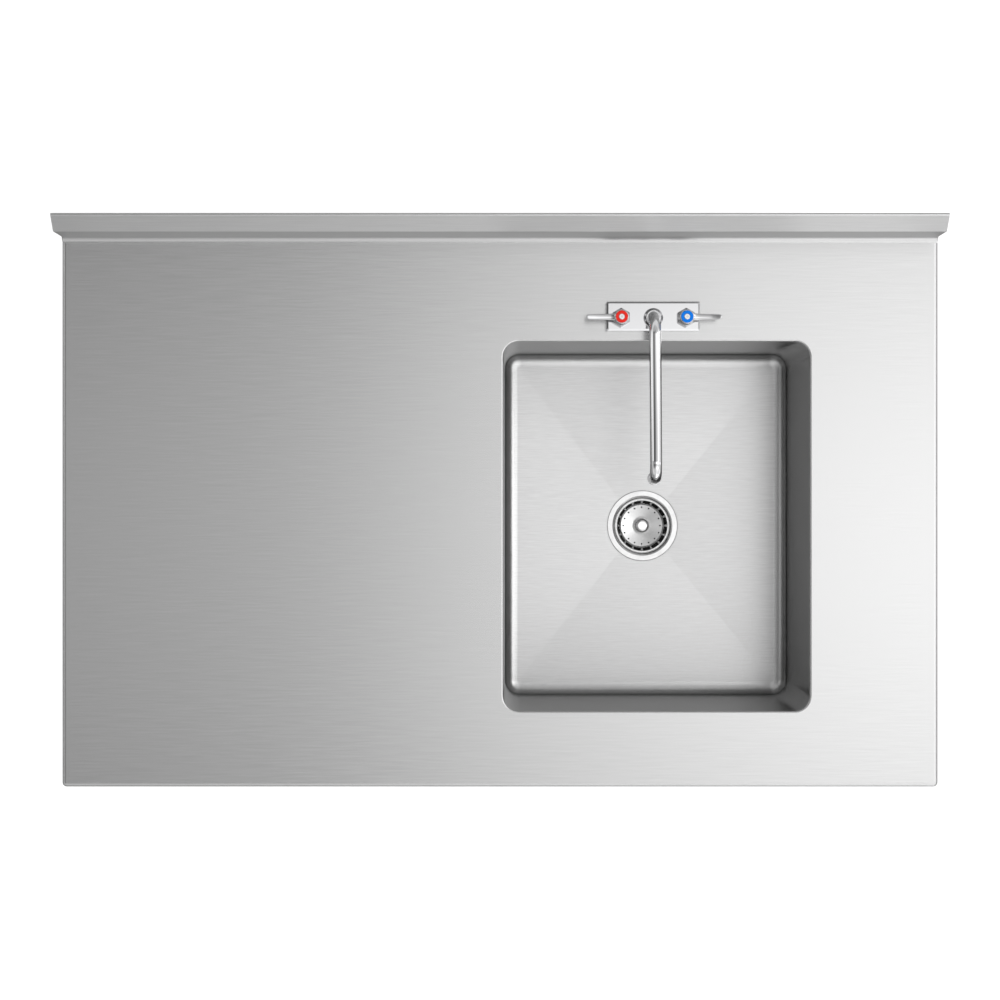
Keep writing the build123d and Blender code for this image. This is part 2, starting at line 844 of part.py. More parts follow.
def spout_tube():
    """The swing spout: one bent tube with a spigot that turns in the body."""
    low = plate_z - spigot_depth
    tube = spout_sweep(spout_radius, plate_z, top_z + spout_end)
    spigot = rod(spigot_radius, low, plate_z - rest_gap) + rod(spout_radius, low, plate_z + past)
    groove_z = low + ring_height
    groove_high = groove_z + ring_minor + running_gap
    groove_low = groove_z - ring_minor - running_gap
    groove = rod(spigot_radius + past, groove_low, groove_high)
    groove -= rod(spigot_radius - 2 * ring_minor, groove_low, groove_high)
    bore = spout_sweep(spout_radius - spout_wall, low, top_z + spout_end)
    return tube + Pos(faucet_x, faucet_y, 0) * (spigot - groove) - bore


def spout_nut():
    """The domed collar that keeps the spout in the body."""
    high = plate_z + collar_height
    collar = turned(
        [
            (spout_radius + running_gap, plate_z),
            (collar_radius, plate_z),
            (collar_radius, plate_z + collar_band),
            (collar_top_radius, high),
            (spout_radius + running_gap, high),
        ],
        radius=[0.0, 0.0, collar_shoulder, collar_edge, 0.0],
    )
    return Pos(faucet_x, faucet_y, 0) * collar


def spout_o_ring():
    """The sealing ring in the spigot's groove."""
    height = plate_z - spigot_depth + ring_height
    return Pos(faucet_x, faucet_y, height) * Torus(spigot_radius - ring_minor, ring_minor)


def at_tip(solid):
    """A piece of the spout's outlet, drawn about Z, in its place."""
    return Pos(faucet_x, faucet_y - spout_reach, 0) * solid


def aerator_shell():
    """The sleeve on the spout's end."""
    high = top_z + spout_end + aerator_grip
    low = high - aerator_height
    bore = spout_radius + seat_gap
    shell = turned(
        [
            (aerator_lip, low),
            (aerator_radius, low),
            (aerator_radius, high),
            (bore, high),
            (bore, low + aerator_floor),
            (aerator_lip, low + aerator_floor),
        ],
        radius=[0.0, aerator_low_edge, aerator_high_edge, 0.0, 0.0, 0.0],
    )
    return at_tip(shell)


def aerator_screen():
    """The perforated disc that lies in the sleeve."""
    low = top_z + spout_end + aerator_grip - aerator_height + aerator_floor
    disc = rod(spout_radius, low, low + screen_thick)
    hole = rod(screen_hole, low - past, low + screen_thick + past)
    for ring_radius, count in screen_rings:
        for step in range(count):
            disc -= Rot(0, 0, 360 / count * step) * Pos(ring_radius, 0, 0) * hole
    return at_tip(disc)


def hat_channel(length):
    """A hat-section stiffener along X, its flanges at height 0 and its crown below."""
    half = channel_width / 2
    crown = channel_crown / 2
    sheet = channel_sheet
    deep = -channel_height
    section = make_face(
        Polyline(
            (-half, 0),
            (-crown + sheet, 0),
            (-crown + sheet, deep + sheet),
            (crown - sheet, deep + sheet),
            (crown - sheet, 0),
            (half, 0),
            (half, -sheet),
            (crown, -sheet),
            (crown, deep),
            (-crown, deep),
            (-crown, -sheet),
            (-half, -sheet),
            close=True,
        )
    )
    return extrude(Plane.YZ * section, amount=length / 2, both=True)


def channels():
    """The stiffeners under the top, each with the name of its node."""
    high = top_z - top_sheet
    long_length = 2 * (leg_x - channel_width / 2)
    front_end = front_y + top_sheet + cross_channel_gap
    rear_end = splash_y - cross_channel_gap
    cross = Rot(0, 0, 90) * hat_channel(rear_end - front_end)
    cross_y = (front_end + rear_end) / 2
    left_end = -leg_x + channel_width / 2
    middle_y = (leg_front_y + leg_rear_y) / 2
    right_end = bowl_x - bowl_width / 2 - middle_channel_gap
    middle = hat_channel(right_end - left_end)
    return {
        "channel_front": Pos(0, leg_front_y, high) * hat_channel(long_length),
        "channel_rear": Pos(0, leg_rear_y, high) * hat_channel(long_length),
        "channel_left": Pos(-leg_x, cross_y, high) * cross,
        "channel_right": Pos(leg_x, cross_y, high) * cross,
        "channel_middle": Pos((left_end + right_end) / 2, middle_y, high) * middle,
    }


def inward(x, y):
    """The angle from a leg towards the middle of the table, along its corner's diagonal."""
    return degrees(atan2(-copysign(1, y), -copysign(1, x)))


def set_screw(x, y, height, start, end):
    """A grub screw that presses on a leg from the side that faces the middle."""
    screw = Rot(0, 90, 0) * Cylinder(set_screw_radius - seat_gap, end - start)
    return Pos(x, y, height) * Rot(0, 0, inward(x, y)) * Pos((start + end) / 2, 0, 0) * screw


def leg_socket(x, y):
    """The socket under the frame that a leg is pushed into."""
    outer = leg_radius + seat_gap + socket_wall
    low = socket_z - socket_depth
    plan = RectangleRounded(socket_plate, socket_plate, socket_plate_corner)
    cup = rod(outer, low, socket_z) - rod(leg_radius + seat_gap, low, socket_z)
    low_edges = cup.edges().filter_by(GeomType.CIRCLE).group_by(Axis.Z)[0]
    cup = fillet(low_edges.sort_by(SortBy.RADIUS)[-1], socket_edge)
    hole = Rot(0, 90, 0) * Cylinder(set_screw_radius, 2 * socket_wall)
    hole = Rot(0, 0, inward(x, y)) * Pos(outer - socket_wall / 2, 0, low + socket_depth / 2) * hole
    return Pos(x, y, 0) * (slab(plan, socket_z, channel_z) + cup - hole)


def socket_set_screws():
    """The screws that lock the four legs in their sockets."""
    height = socket_z - socket_depth / 2
    return group(
        set_screw(x, y, height, leg_radius, leg_radius + set_screw_bite) for x, y in legs.values()
    )


def leg(x, y):
    """A straight tubular leg."""
    tube = rod(leg_radius, leg_low_z, socket_z) - rod(leg_radius - leg_wall, leg_low_z, socket_z)
    return Pos(x, y, 0) * tube


def foot_insert(x, y):
    """The threaded plug in the lower end of a leg."""
    plug = rod(leg_radius - leg_wall - seat_gap, leg_low_z, leg_low_z + insert_length)
    plug += rod(leg_radius, leg_low_z - insert_flange, leg_low_z)
    bore = rod(foot_stem_radius + running_gap, leg_low_z - insert_flange, leg_low_z + insert_length)
    return Pos(x, y, 0) * (plug - bore)


def foot(x, y):
    """A levelling foot: rounded body on a threaded stem."""
    top = foot_height
    body = turned(
        [
            (0, 0),
            (foot_base_radius, 0),
            (foot_top_radius, foot_cone),
            (foot_top_radius, top),
            (0, top),
        ],
        radius=[0.0, foot_toe, foot_shoulder, foot_top_edge, 0.0],
    )
    return Pos(x, y, 0) * (body + rod(foot_stem_radius, top - past, top + foot_stem_length))


def undershelf():
    """The folded shelf between the legs, notched round them."""
    length = leg_rear_y - leg_front_y
    middle_y = (leg_rear_y + leg_front_y) / 2
    outer = Pos(0, middle_y, shelf_height - shelf_edge / 2) * Box(2 * leg_x, length, shelf_edge)
    outer = fillet(outer.faces().sort_by(Axis.Z)[-1].edges(), shelf_bend + shelf_sheet)
    inner = Pos(0, middle_y, shelf_low_z - shelf_edge / 2) * Box(
        2 * (leg_x - shelf_sheet), length - 2 * shelf_sheet, shelf_edge
    )
    inner = fillet(inner.faces().sort_by(Axis.Z)[-1].edges(), shelf_bend)
    shelf = outer - inner
    for x, y in legs.values():
        shelf -= Pos(x, y, 0) * rod(shelf_notch, shelf_height - shelf_edge - past, shelf_height + past)
        shelf -= bolt_place(x, y) * rod(
            shelf_bolt_radius + seat_gap, shelf_low_z - past, shelf_height + past
        )
    return shelf


def bolt_place(x, y):
    """Where a shelf bolt stands: on the leg's diagonal, inside the shelf."""
    return Pos(x, y, 0) * Rot(0, 0, inward(x, y)) * Pos(shelf_bolt_reach, 0, 0)


def shelf_clamp(x, y):
    """The ring round a leg with an arm under the shelf's corner."""
    bore = leg_radius + clamp_gap
    outer = bore + clamp_wall
    low = shelf_low_z - clamp_height
    arm = Pos(clamp_arm / 2, 0, shelf_low_z - clamp_arm_thick / 2) * Box(
        clamp_arm, clamp_arm_width, clamp_arm_thick
    )
    arm = fillet(arm.edges().filter_by(Axis.Z), clamp_arm_corner)
    rib_end = shelf_bolt_reach - shelf_nut_flats / sqrt(3) - clear_gap
    side = Polyline(
        (0, low + clamp_rib_low),
        (outer + clamp_rib_out, low + clamp_rib_low),
        (rib_end, shelf_low_z - clamp_arm_thick),
        (0, shelf_low_z - clamp_arm_thick),
        close=True,
    )
    rib = extrude(Plane.XZ * make_face(side), amount=clamp_rib_thick / 2, both=True)
    clamp = rod(outer, low, shelf_low_z) + arm + rib - rod(bore, low, shelf_low_z)
    screw_hole = Rot(0, 90, 0) * Cylinder(set_screw_radius, 3 * clamp_wall)
    clamp -= Pos(-bore - clamp_wall / 2, 0, low + clamp_height / 2) * screw_hole
    clamp -= Pos(shelf_bolt_reach, 0, 0) * rod(shelf_bolt_radius + seat_gap, low, shelf_low_z)
    return Pos(x, y, 0) * Rot(0, 0, inward(x, y)) * clamp


def clamp_set_screws():
    """The screws that lock the shelf's clamps on the legs, on their outer side."""
    height = shelf_low_z - clamp_height / 2
    start = leg_radius + clamp_gap
    end = start + clamp_wall + clamp_screw_proud
    screw = Rot(0, 90, 0) * Cylinder(set_screw_radius - seat_gap, end - start)
    return group(
        Pos(x, y, height) * Rot(0, 0, inward(x, y)) * Pos(-(start + end) / 2, 0, 0) * screw
        for x, y in legs.values()
    )


def shelf_bolts():
    """The bolts and nuts that join the shelf to its clamps."""
    arm_low = shelf_low_z - clamp_arm_thick
    bolt = rod(shelf_bolt_radius, arm_low - shelf_nut_height - shelf_bolt_tail, shelf_height)
    bolt += turned(
        [
            (0, shelf_height),
            (shelf_bolt_head, shelf_height),
            (shelf_bolt_crown, shelf_height + shelf_bolt_side),
            (0, shelf_height + shelf_bolt_head_height),
        ]
    )
    bolt += slab(hexagon(shelf_nut_flats), arm_low - shelf_nut_height, arm_low)
    return group(bolt_place(x, y) * bolt for x, y in legs.values())


def save(node, shape):
    """Write one node."""
    export_step(shape, f"parts/{node}.step")


save("worktop", worktop())
save("splash_end_left", splash_end(-1))
save("splash_end_right", splash_end(1))
save("sink_bowl", sink_bowl())
for node, shape in channels().items():
    save(node, shape)

save("strainer_body", strainer_body())
save("drain_gasket", ring_under_bowl(gasket_radius, gasket_thick, under_bowl_z))
save("drain_friction_ring", ring_under_bowl(gasket_radius, friction_ring_thick, friction_z))
save("drain_locknut", drain_locknut())
save("tailpiece_washer", tailpiece_washer())
save("tailpiece", tailpiece())
save("tailpiece_nut", tailpiece_nut())
save("basket_cup", basket_cup())
save("basket_knob", basket_knob())
save("basket_post", basket_post())
save("basket_stopper", basket_stopper())

save("faucet_gasket", faucet_gasket())
save("faucet_body", faucet_body())
for name, x, side in (("hot", hot_x, -1), ("cold", cold_x, 1)):
    save(f"{name}_bonnet", bonnet(x))
    save(f"{name}_cartridge", cartridge(x, -side))
    save(f"{name}_stem", stem(x))
    save(f"{name}_lever", lever(x, side))
    save(f"{name}_index", index_ring(x))
    save(f"{name}_screw", handle_screw(x))
    save(f"{name}_shank", shank(x))
save("shank_washers", shank_washers())
save("shank_locknuts", shank_locknuts())
save("spout_tube", spout_tube())
save("spout_nut", spout_nut())
save("spout_o_ring", spout_o_ring())
save("aerator_shell", aerator_shell())
save("aerator_screen", aerator_screen())

for corner, (x, y) in legs.items():
    save(f"leg_{corner}", leg(x, y))
    save(f"foot_{corner}", foot(x, y))
save("leg_sockets", group(leg_socket(x, y) for x, y in legs.values()))
save("socket_set_screws", socket_set_screws())
save("foot_inserts", group(foot_insert(x, y) for x, y in legs.values()))
save("undershelf", undershelf())
save("shelf_clamps", group(shelf_clamp(x, y) for x, y in legs.values()))
save("clamp_set_screws", clamp_set_screws())
save("shelf_bolts", shelf_bolts())
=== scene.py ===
"""Sink table: a brushed steel work table with a bowl, a basket drain, a two-lever faucet and a shelf.

Everything is in metres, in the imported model's frame: +X to the right, +Y to the wall, +Z up, floor at 0.
"""

import json
from math import cos, pi, radians, sin, tan

import bmesh
import bpy
from bpy.props import FloatProperty, FloatVectorProperty, PointerProperty
from mathutils import Matrix, Vector


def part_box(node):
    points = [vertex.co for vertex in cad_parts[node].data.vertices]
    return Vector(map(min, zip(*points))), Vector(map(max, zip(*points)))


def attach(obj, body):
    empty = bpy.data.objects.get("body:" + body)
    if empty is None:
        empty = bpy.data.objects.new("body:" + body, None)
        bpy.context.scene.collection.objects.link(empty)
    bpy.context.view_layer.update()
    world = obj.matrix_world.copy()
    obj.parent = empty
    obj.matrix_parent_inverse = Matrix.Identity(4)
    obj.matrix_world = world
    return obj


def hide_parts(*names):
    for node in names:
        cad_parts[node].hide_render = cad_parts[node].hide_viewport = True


bl_info = {
    "name": "Sink Table",
    "version": (1, 0, 0),
    "blender": (4, 5, 0),
    "location": "3D Viewport > Sidebar > Sink Table",
    "description": "Dresses a steel sink table with its finishes, threads, welds and a studio",
    "category": "Object",
}

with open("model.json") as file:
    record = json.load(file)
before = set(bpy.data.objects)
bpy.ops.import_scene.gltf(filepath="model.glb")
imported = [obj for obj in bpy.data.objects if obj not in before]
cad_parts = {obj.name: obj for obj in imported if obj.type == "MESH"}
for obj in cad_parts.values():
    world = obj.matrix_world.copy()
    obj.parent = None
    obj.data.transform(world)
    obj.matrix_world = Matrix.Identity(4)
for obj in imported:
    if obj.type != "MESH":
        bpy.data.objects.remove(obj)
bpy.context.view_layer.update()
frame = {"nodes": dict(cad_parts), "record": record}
nodes = frame["nodes"]
CORNERS = ("front_left", "front_right", "rear_left", "rear_right")


def middle(node):
    """The middle of a node's box."""
    low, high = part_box(node)
    return (low + high) / 2


TOP_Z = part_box("faucet_gasket")[0].z
RISER = middle("spout_nut")
TIP = middle("aerator_shell")
DRAIN = middle("strainer_body")


def number(name, default, description, **more):
    """A setting that is a number."""
    return FloatProperty(name=name, description=description, default=default, **more)


def length(name, default, description):
    """A setting in metres."""
    return number(name, default, description, unit="LENGTH")


def colour(name, default, description):
    """A setting that is a colour."""
    return FloatVectorProperty(
        name=name, description=description, default=default, subtype="COLOR")


class StudioSettings(bpy.types.PropertyGroup):
    """The camera, the floor and the light."""

    lens: number("Lens", 100.0, "Focal length", unit="CAMERA")
    camera_height: length("Camera height", 3.866, "Height above the worktop")
    camera_y: length("Camera place", 0.005, "The camera's place from front to rear")
    floor_reach: length("Floor reach", 40.0, "Half the width of the floor")
    floor_color: colour("Floor colour", (0.24, 0.24, 0.24), "Colour of the floor")
    floor_glow: number("Floor glow", 0.95, "Strength of the pale floor in the picture")
    floor_reflected: number("Floor in metal", 0.06, "Share of that glow that metal shows")
    backdrop: colour(
        "Backdrop", (0.75, 0.75, 0.75), "Colour of the backdrop that metal shows low all round")
    lamp_energy: number("Lamp power", 60.0, "Power of the soft lamp", unit="POWER")


class SheetSettings(bpy.types.PropertyGroup):
    """The brushed sheet of the top, the bowl and the shelf."""

    top_color: colour("Top colour", (0.72, 0.72, 0.72), "Colour of the brushed top")
    # Painted light: the bowl is given a lighter colour than the top, to brighten its floor deep in the
    # bowl.
    bowl_color: colour("Bowl colour", (0.9, 0.9, 0.9), "Colour of the bowl")
    top_roughness: number("Top roughness", 0.2, "Roughness of the brushed top")
    grain_length: length("Grain length", 0.09, "Length of a brush line")
    grain_width: length("Grain width", 0.0015, "Width of a brush line")


class FaucetSettings(bpy.types.PropertyGroup):
    """The faucet's chrome, its rings and the sizes of its bent and cast pieces."""

    chrome_color: colour("Chrome colour", (0.74, 0.74, 0.75), "Colour of the plating")
    # Painted light: the spout is given a brighter copy of the faucet's chrome.
    tube_color: colour("Spout colour", (0.88, 0.88, 0.89), "Colour of the plating on the spout")
    hot_color: colour("Hot colour", (0.8, 0.025, 0.015), "Colour of the hot ring")
    cold_color: colour("Cold colour", (0.0, 0.19, 0.78), "Colour of the cold ring")
    tube_radius: length("Tube radius", 0.00825, "Outside radius of the spout")
    tube_wall: length("Tube wall", 0.0015, "Wall of the spout")
    knee_height: length("Knee height", 0.0712, "Where the riser's line meets the arm's line")
    crown_height: length("Crown height", 0.0957, "Where the arm's line meets the drop's line")
    knee_radius: length("Knee radius", 0.032, "Bend of the riser into the arm")
    crown_radius: length("Crown radius", 0.0205, "Bend of the arm into the drop")
    hub_radius: length("Hub radius", 0.011, "Radius of a lever's hub")
    hub_height: length("Hub height", 0.0182, "Height of a lever's hub")
    hub_bore: length("Hub bore", 0.00445, "Radius of the hub's hole for the stem")
    bore_height: length("Bore height", 0.013, "Height of that hole")
    ring_seat: length("Ring seat", 0.00842, "Radius of the hub's recess for its ring")
    screw_hole: length("Screw hole", 0.00185, "Radius of the hub's hole for its screw")
    blade_height: length("Blade height", 0.0093, "Height of a lever's blade at the hub")
    inlet_pitch: length("Inlet pitch", 0.0018, "Pitch of an inlet's thread")
    inlet_depth: length("Inlet depth", 0.0005, "Depth of an inlet's thread")


class DrainSettings(bpy.types.PropertyGroup):
    """The strainer's thread and the basket's ribs."""

    thread_radius: length("Thread radius", 0.0433, "Radius of the strainer's thread")
    thread_pitch: length("Thread pitch", 0.0022, "Pitch of the strainer's thread")
    thread_depth: length("Thread depth", 0.0007, "Depth of the strainer's thread")
    bare_neck: length("Bare neck", 0.0365, "From the flange down to the thread")
    rib_radius: length("Rib radius", 0.0015, "Radius of a rib of the basket")


class BaseSettings(bpy.types.PropertyGroup):
    """The frame, the legs and the feet."""

    leg_radius: length("Leg radius", 0.02065, "Outside radius of a leg")
    sheet: length("Channel sheet", 0.0015, "Thickness of the channels")
    plate_half: length("Socket plate", 0.03, "Half the width of a socket's plate")
    spot_line: length("Spot line", 0.036, "How far the spot welds lie from a channel's middle")
    spot_margin: length("Spot margin", 0.02, "From a channel's end to its first spot weld")
    spot_step: length("Spot step", 0.06, "Distance between spot welds")
    screw_radius: length("Set screw radius", 0.0039, "Radius of a set screw")
    socket_screw: length("Socket screw", 0.0052, "How far a socket's set screw reaches")
    clamp_screw: length("Clamp screw", 0.0084, "How far a clamp's set screw reaches")
    clamp_gap: length("Clamp gap", 0.0002, "From a leg to its clamp's set screw")
    bead_margin: length("Bead margin", 0.004, "From a socket plate's end to its weld")
    bead_step: length("Bead step", 0.0016, "Distance between the ripples of a weld")
    foot_tip: length("Foot tip", 0.013, "Radius of a foot's lower face")
    foot_radius: length("Foot radius", 0.019, "Radius of a foot's body")
    foot_taper: length("Foot taper", 0.025, "Height of a foot's tapered part")
    foot_height: length("Foot height", 0.038, "Height of a foot's body")
    stem_radius: length("Stem radius", 0.008, "Outside radius of a foot's thread")
    stem_depth: length("Stem depth", 0.0008, "Depth of a foot's thread")
    stem_pitch: length("Stem pitch", 0.002, "Pitch of a foot's thread")


class SinkTableSettings(bpy.types.PropertyGroup):
    """All the sizes and colours of the sink table."""

    studio: PointerProperty(type=StudioSettings)
    sheet: PointerProperty(type=SheetSettings)
    faucet: PointerProperty(type=FaucetSettings)
    drain: PointerProperty(type=DrainSettings)
    base: PointerProperty(type=BaseSettings)


def leg_places():
    """The axes of the front left and the rear right leg."""
    return middle("leg_front_left"), middle("leg_rear_right")


def settings():
    """The sink table's settings in this scene."""
    return bpy.context.scene.sink_table


def grown(color):
    """A colour with its fourth value."""
    return (*color, 1.0)


class Wiring:
    """Adds nodes to a tree and links them."""

    def __init__(self, tree):
        self.tree = tree

    def add(self, kind, settings=None, **inputs):
        """A node with its settings, and with inputs given by socket name (spaces as _)."""
        node = self.tree.nodes.new(kind)
        for name, value in (settings or {}).items():
            setattr(node, name, value)
        self.fill(node, **inputs)
        return node

    def fill(self, node, **inputs):
        """Sets or links inputs given by socket name (spaces as _)."""
        for name, value in inputs.items():
            self.feed(node, name.replace("_", " "), value)

    def feed(self, node, name, value):
        """Sets or links one input, named, or numbered as i0, i1."""
        if name[0] == "i" and name[1:].isdigit():
            socket = node.inputs[int(name[1:])]
        else:
            socket = node.inputs[name]
        if isinstance(value, bpy.types.NodeSocket):
            self.tree.links.new(value, socket)
        elif isinstance(value, bpy.types.Node):
            self.tree.links.new(value.outputs[0], socket)
        else:
            socket.default_value = value

    def math(self, operation, *values):
        """A Math node."""
        inputs = {f"i{n}": value for n, value in enumerate(values)}
        return self.add("ShaderNodeMath", {"operation": operation}, **inputs)

    def vector(self, operation, *values):
        """A Vector Math node."""
        inputs = {f"i{n}": value for n, value in enumerate(values)}
        return self.add("ShaderNodeVectorMath", {"operation": operation}, **inputs)

    def ramp(self, value, low, high, to_low, to_high):
        """A clamped Map Range."""
        return self.add("ShaderNodeMapRange", Value=value, From_Min=low, From_Max=high,
                        To_Min=to_low, To_Max=to_high).outputs["Result"]

    def scaled(self, vector, share):
        """A vector or a colour times a number."""
        return self.add("ShaderNodeVectorMath", {"operation": "SCALE"}, i0=vector, Scale=share)

    def parts(self, vector):
        """The X, Y and Z of a vector."""
        return self.add("ShaderNodeSeparateXYZ", i0=vector).outputs

    def group(self, tree, **inputs):
        """A shader group placed in a material."""
        return self.add("ShaderNodeGroup", {"node_tree": tree}, **inputs)


def made_once(name):
    """Gives a function's node group under this name, and makes it when it is first asked for."""
    def kept(make):
        def give():
            return bpy.data.node_groups.get(name) or make(name)
        return give
    return kept


def new_tree(kind, name, sockets_in, sockets_out):
    """An empty node group: its wiring, what it is given, and its end."""
    tree = bpy.data.node_groups.new(name, kind)
    for label, socket_kind, default in sockets_in:
        socket = tree.interface.new_socket(
            label, in_out="INPUT", socket_type=f"NodeSocket{socket_kind}")
        if default is not None:
            socket.default_value = default
    for label, socket_kind in sockets_out:
        tree.interface.new_socket(
            label, in_out="OUTPUT", socket_type=f"NodeSocket{socket_kind}")
    start = tree.nodes.new("NodeGroupInput")
    end = tree.nodes.new("NodeGroupOutput")
    return Wiring(tree), start.outputs, end


@made_once("brush lines")
def brush_group(name):
    """Brush lines that run level round the sheet: along X, or along Y on faces that look along X."""
    w, given, end = new_tree(
        "ShaderNodeTree", name,
        [("Coordinates", "Vector", None), ("Color", "Color", (0.7, 0.7, 0.7, 1.0)),
         ("Roughness", "Float", 0.3), ("Length", "Float", 0.09), ("Width", "Float", 0.0015),
         ("Contrast", "Float", 0.06), ("Roughness Spread", "Float", 0.06)],
        [("Color", "Color"), ("Roughness", "Float"), ("Height", "Float")],
    )
    along = w.math("DIVIDE", 1.0, given["Length"])
    across = w.math("DIVIDE", 1.0, given["Width"])
    facing = w.parts(w.add("ShaderNodeTexCoord").outputs["Normal"])
    sideways = w.math("GREATER_THAN", w.math("ABSOLUTE", facing["X"]), 0.72)
    heights = []
    for turned_scale in (False, True):
        first, second = (across, along) if turned_scale else (along, across)
        scale = w.add("ShaderNodeCombineXYZ", X=first, Y=second, Z=across)
        place = w.vector("MULTIPLY", given["Coordinates"], scale)
        noise = w.add(
            "ShaderNodeTexNoise", {"noise_dimensions": "3D"}, Vector=place, Scale=1.0, Detail=3.0,
            Roughness=0.62,
        )
        heights.append(noise.outputs["Fac"])
    lines = w.add("ShaderNodeMix", {"data_type": "FLOAT"}, Factor=sideways, A=heights[0],
                  B=heights[1])
    swing = w.math("SUBTRACT", lines.outputs["Result"], 0.5)
    shade = w.math("ADD", 1.0, w.math("MULTIPLY", swing, w.math(
        "MULTIPLY", given["Contrast"], 2.0)))
    color = w.scaled(given["Color"], shade)
    rough = w.math("ADD", given["Roughness"], w.math(
        "MULTIPLY", swing, w.math("MULTIPLY", given["Roughness Spread"], 2.0)))
    w.feed(end, "Color", color)
    w.feed(end, "Roughness", rough)
    w.feed(end, "Height", lines.outputs["Result"])
    return w.tree


@made_once("wiped marks")
def smudge_group(name):
    """Faint marks from wiping, as a roughness."""
    w, given, end = new_tree(
        "ShaderNodeTree", name,
        [("Coordinates", "Vector", None), ("Roughness", "Float", 0.08), ("Amount", "Float", 0.05),
         ("Size", "Float", 0.02)],
        [("Roughness", "Float")],
    )
    scale = w.math("DIVIDE", 1.0, given["Size"])
    cloud = w.add("ShaderNodeTexNoise", Vector=given["Coordinates"], Scale=scale,
                  Detail=4.0, Roughness=0.55, Distortion=0.6)
    mask = w.ramp(cloud.outputs["Fac"], 0.45, 0.7, 0.0, 1.0)
    rough = w.math("ADD", given["Roughness"],
                   w.math("MULTIPLY", mask, given["Amount"]))
    w.feed(end, "Roughness", rough)
    return w.tree


@made_once("cast skin")
def pit_group(name):
    """Small pits and soft waves of a cast or pressed surface, as a height."""
    w, given, end = new_tree(
        "ShaderNodeTree", name,
        [("Coordinates", "Vector", None), ("Color", "Color", (0.6, 0.6, 0.6, 1.0)),
         ("Roughness", "Float", 0.4), ("Size", "Float", 0.0015), ("Contrast", "Float", 0.08)],
        [("Color", "Color"), ("Roughness", "Float"), ("Height", "Float")],
    )
    scale = w.math("DIVIDE", 1.0, given["Size"])
    fine = w.add("ShaderNodeTexNoise", Vector=given["Coordinates"], Scale=scale,
                 Detail=5.0, Roughness=0.6)
    broad = w.add("ShaderNodeTexNoise", Vector=given["Coordinates"],
                  Scale=w.math("DIVIDE", scale, 14.0), Detail=2.0)
    swing = w.math("SUBTRACT", w.math("ADD", w.math("MULTIPLY", fine, 0.6),
                                      w.math("MULTIPLY", broad, 0.4)), 0.5)
    shade = w.math("ADD", 1.0, w.math("MULTIPLY", swing, w.math(
        "MULTIPLY", given["Contrast"], 2.0)))
    color = w.scaled(given["Color"], shade)
    w.feed(end, "Color", color)
    w.feed(end, "Roughness", w.math("ADD", given["Roughness"],
                                    w.math("MULTIPLY", swing, 0.25)))
    w.feed(end, "Height", fine)
    return w.tree


def new_material(name):
    """A material with a Principled shader, its wiring and Object coordinates."""
    material = bpy.data.materials.new(name)
    material.use_nodes = True
    w = Wiring(material.node_tree)
    shader = material.node_tree.nodes["Principled BSDF"]
    place = w.add("ShaderNodeTexCoord").outputs["Object"]
    return material, w, shader, place


def brushed_steel(name, color, roughness, anisotropy=0.75, contrast=0.06, grain_length=None,
                  grain_width=None, relief=0.00002, wall=1.0, crease_shade=1.0, bend=0.96, steep=0.0,
                  edge=0.7):
    """Brushed sheet: lines along the grain, reflections drawn out across it.

    Painted shade: the colour of steep faces is darkened by wall, and that of bends up to the level of bend
    by crease, standing in for the shade down walls and in bends. Steep roughens them.
    """
    sheet = settings().sheet
    material, w, shader, place = new_material(name)
    lines = w.group(
        brush_group(), Coordinates=place, Color=grown(color), Roughness=roughness,
        Length=grain_length or sheet.grain_length, Width=grain_width or sheet.grain_width,
        Contrast=contrast, Roughness_Spread=0.05)
    facing = w.add("ShaderNodeNewGeometry").outputs["Normal"]
    w.feed(shader, "Base Color", lines.outputs["Color"])
    level = w.math("ABSOLUTE", w.parts(facing)["Z"])
    # Painted shade: the colour is darkened on walls and bends, by how steep the face is, where shade
    # falls.
    if wall < 1:
        foot = w.ramp(level, 0.02, 0.16, wall, crease_shade)
        painted_shade = w.scaled(lines.outputs["Color"], w.ramp(level, 0.35, bend, foot, 1.0))
        w.feed(shader, "Base Color", painted_shade)
    rough = w.math("ADD", lines.outputs["Roughness"], w.ramp(level, 0.5, 0.98, steep, 0.0))
    bump = w.add("ShaderNodeBump", Height=lines.outputs["Height"], Distance=relief, Strength=0.6)
    w.fill(shader, Roughness=rough, Metallic=1.0, Specular_Tint=(edge, edge, edge, 1.0),
           Anisotropic=anisotropy, Tangent=w.vector("CROSS_PRODUCT", facing, (1.0, 0.02, 0.0)),
           Normal=bump)
    return material


def plated(name, color, roughness, edge=0.0004):
    """Bright plating or polished steel with faint wiped marks and softened edges."""
    material, w, shader, place = new_material(name)
    marks = w.group(smudge_group(), Coordinates=place, Roughness=roughness, Amount=0.03, Size=0.012)
    w.fill(shader, Base_Color=grown(color), Roughness=marks.outputs["Roughness"], Metallic=1.0,
           Normal=w.add("ShaderNodeBevel", {"samples": 6}, Radius=edge))
    return material


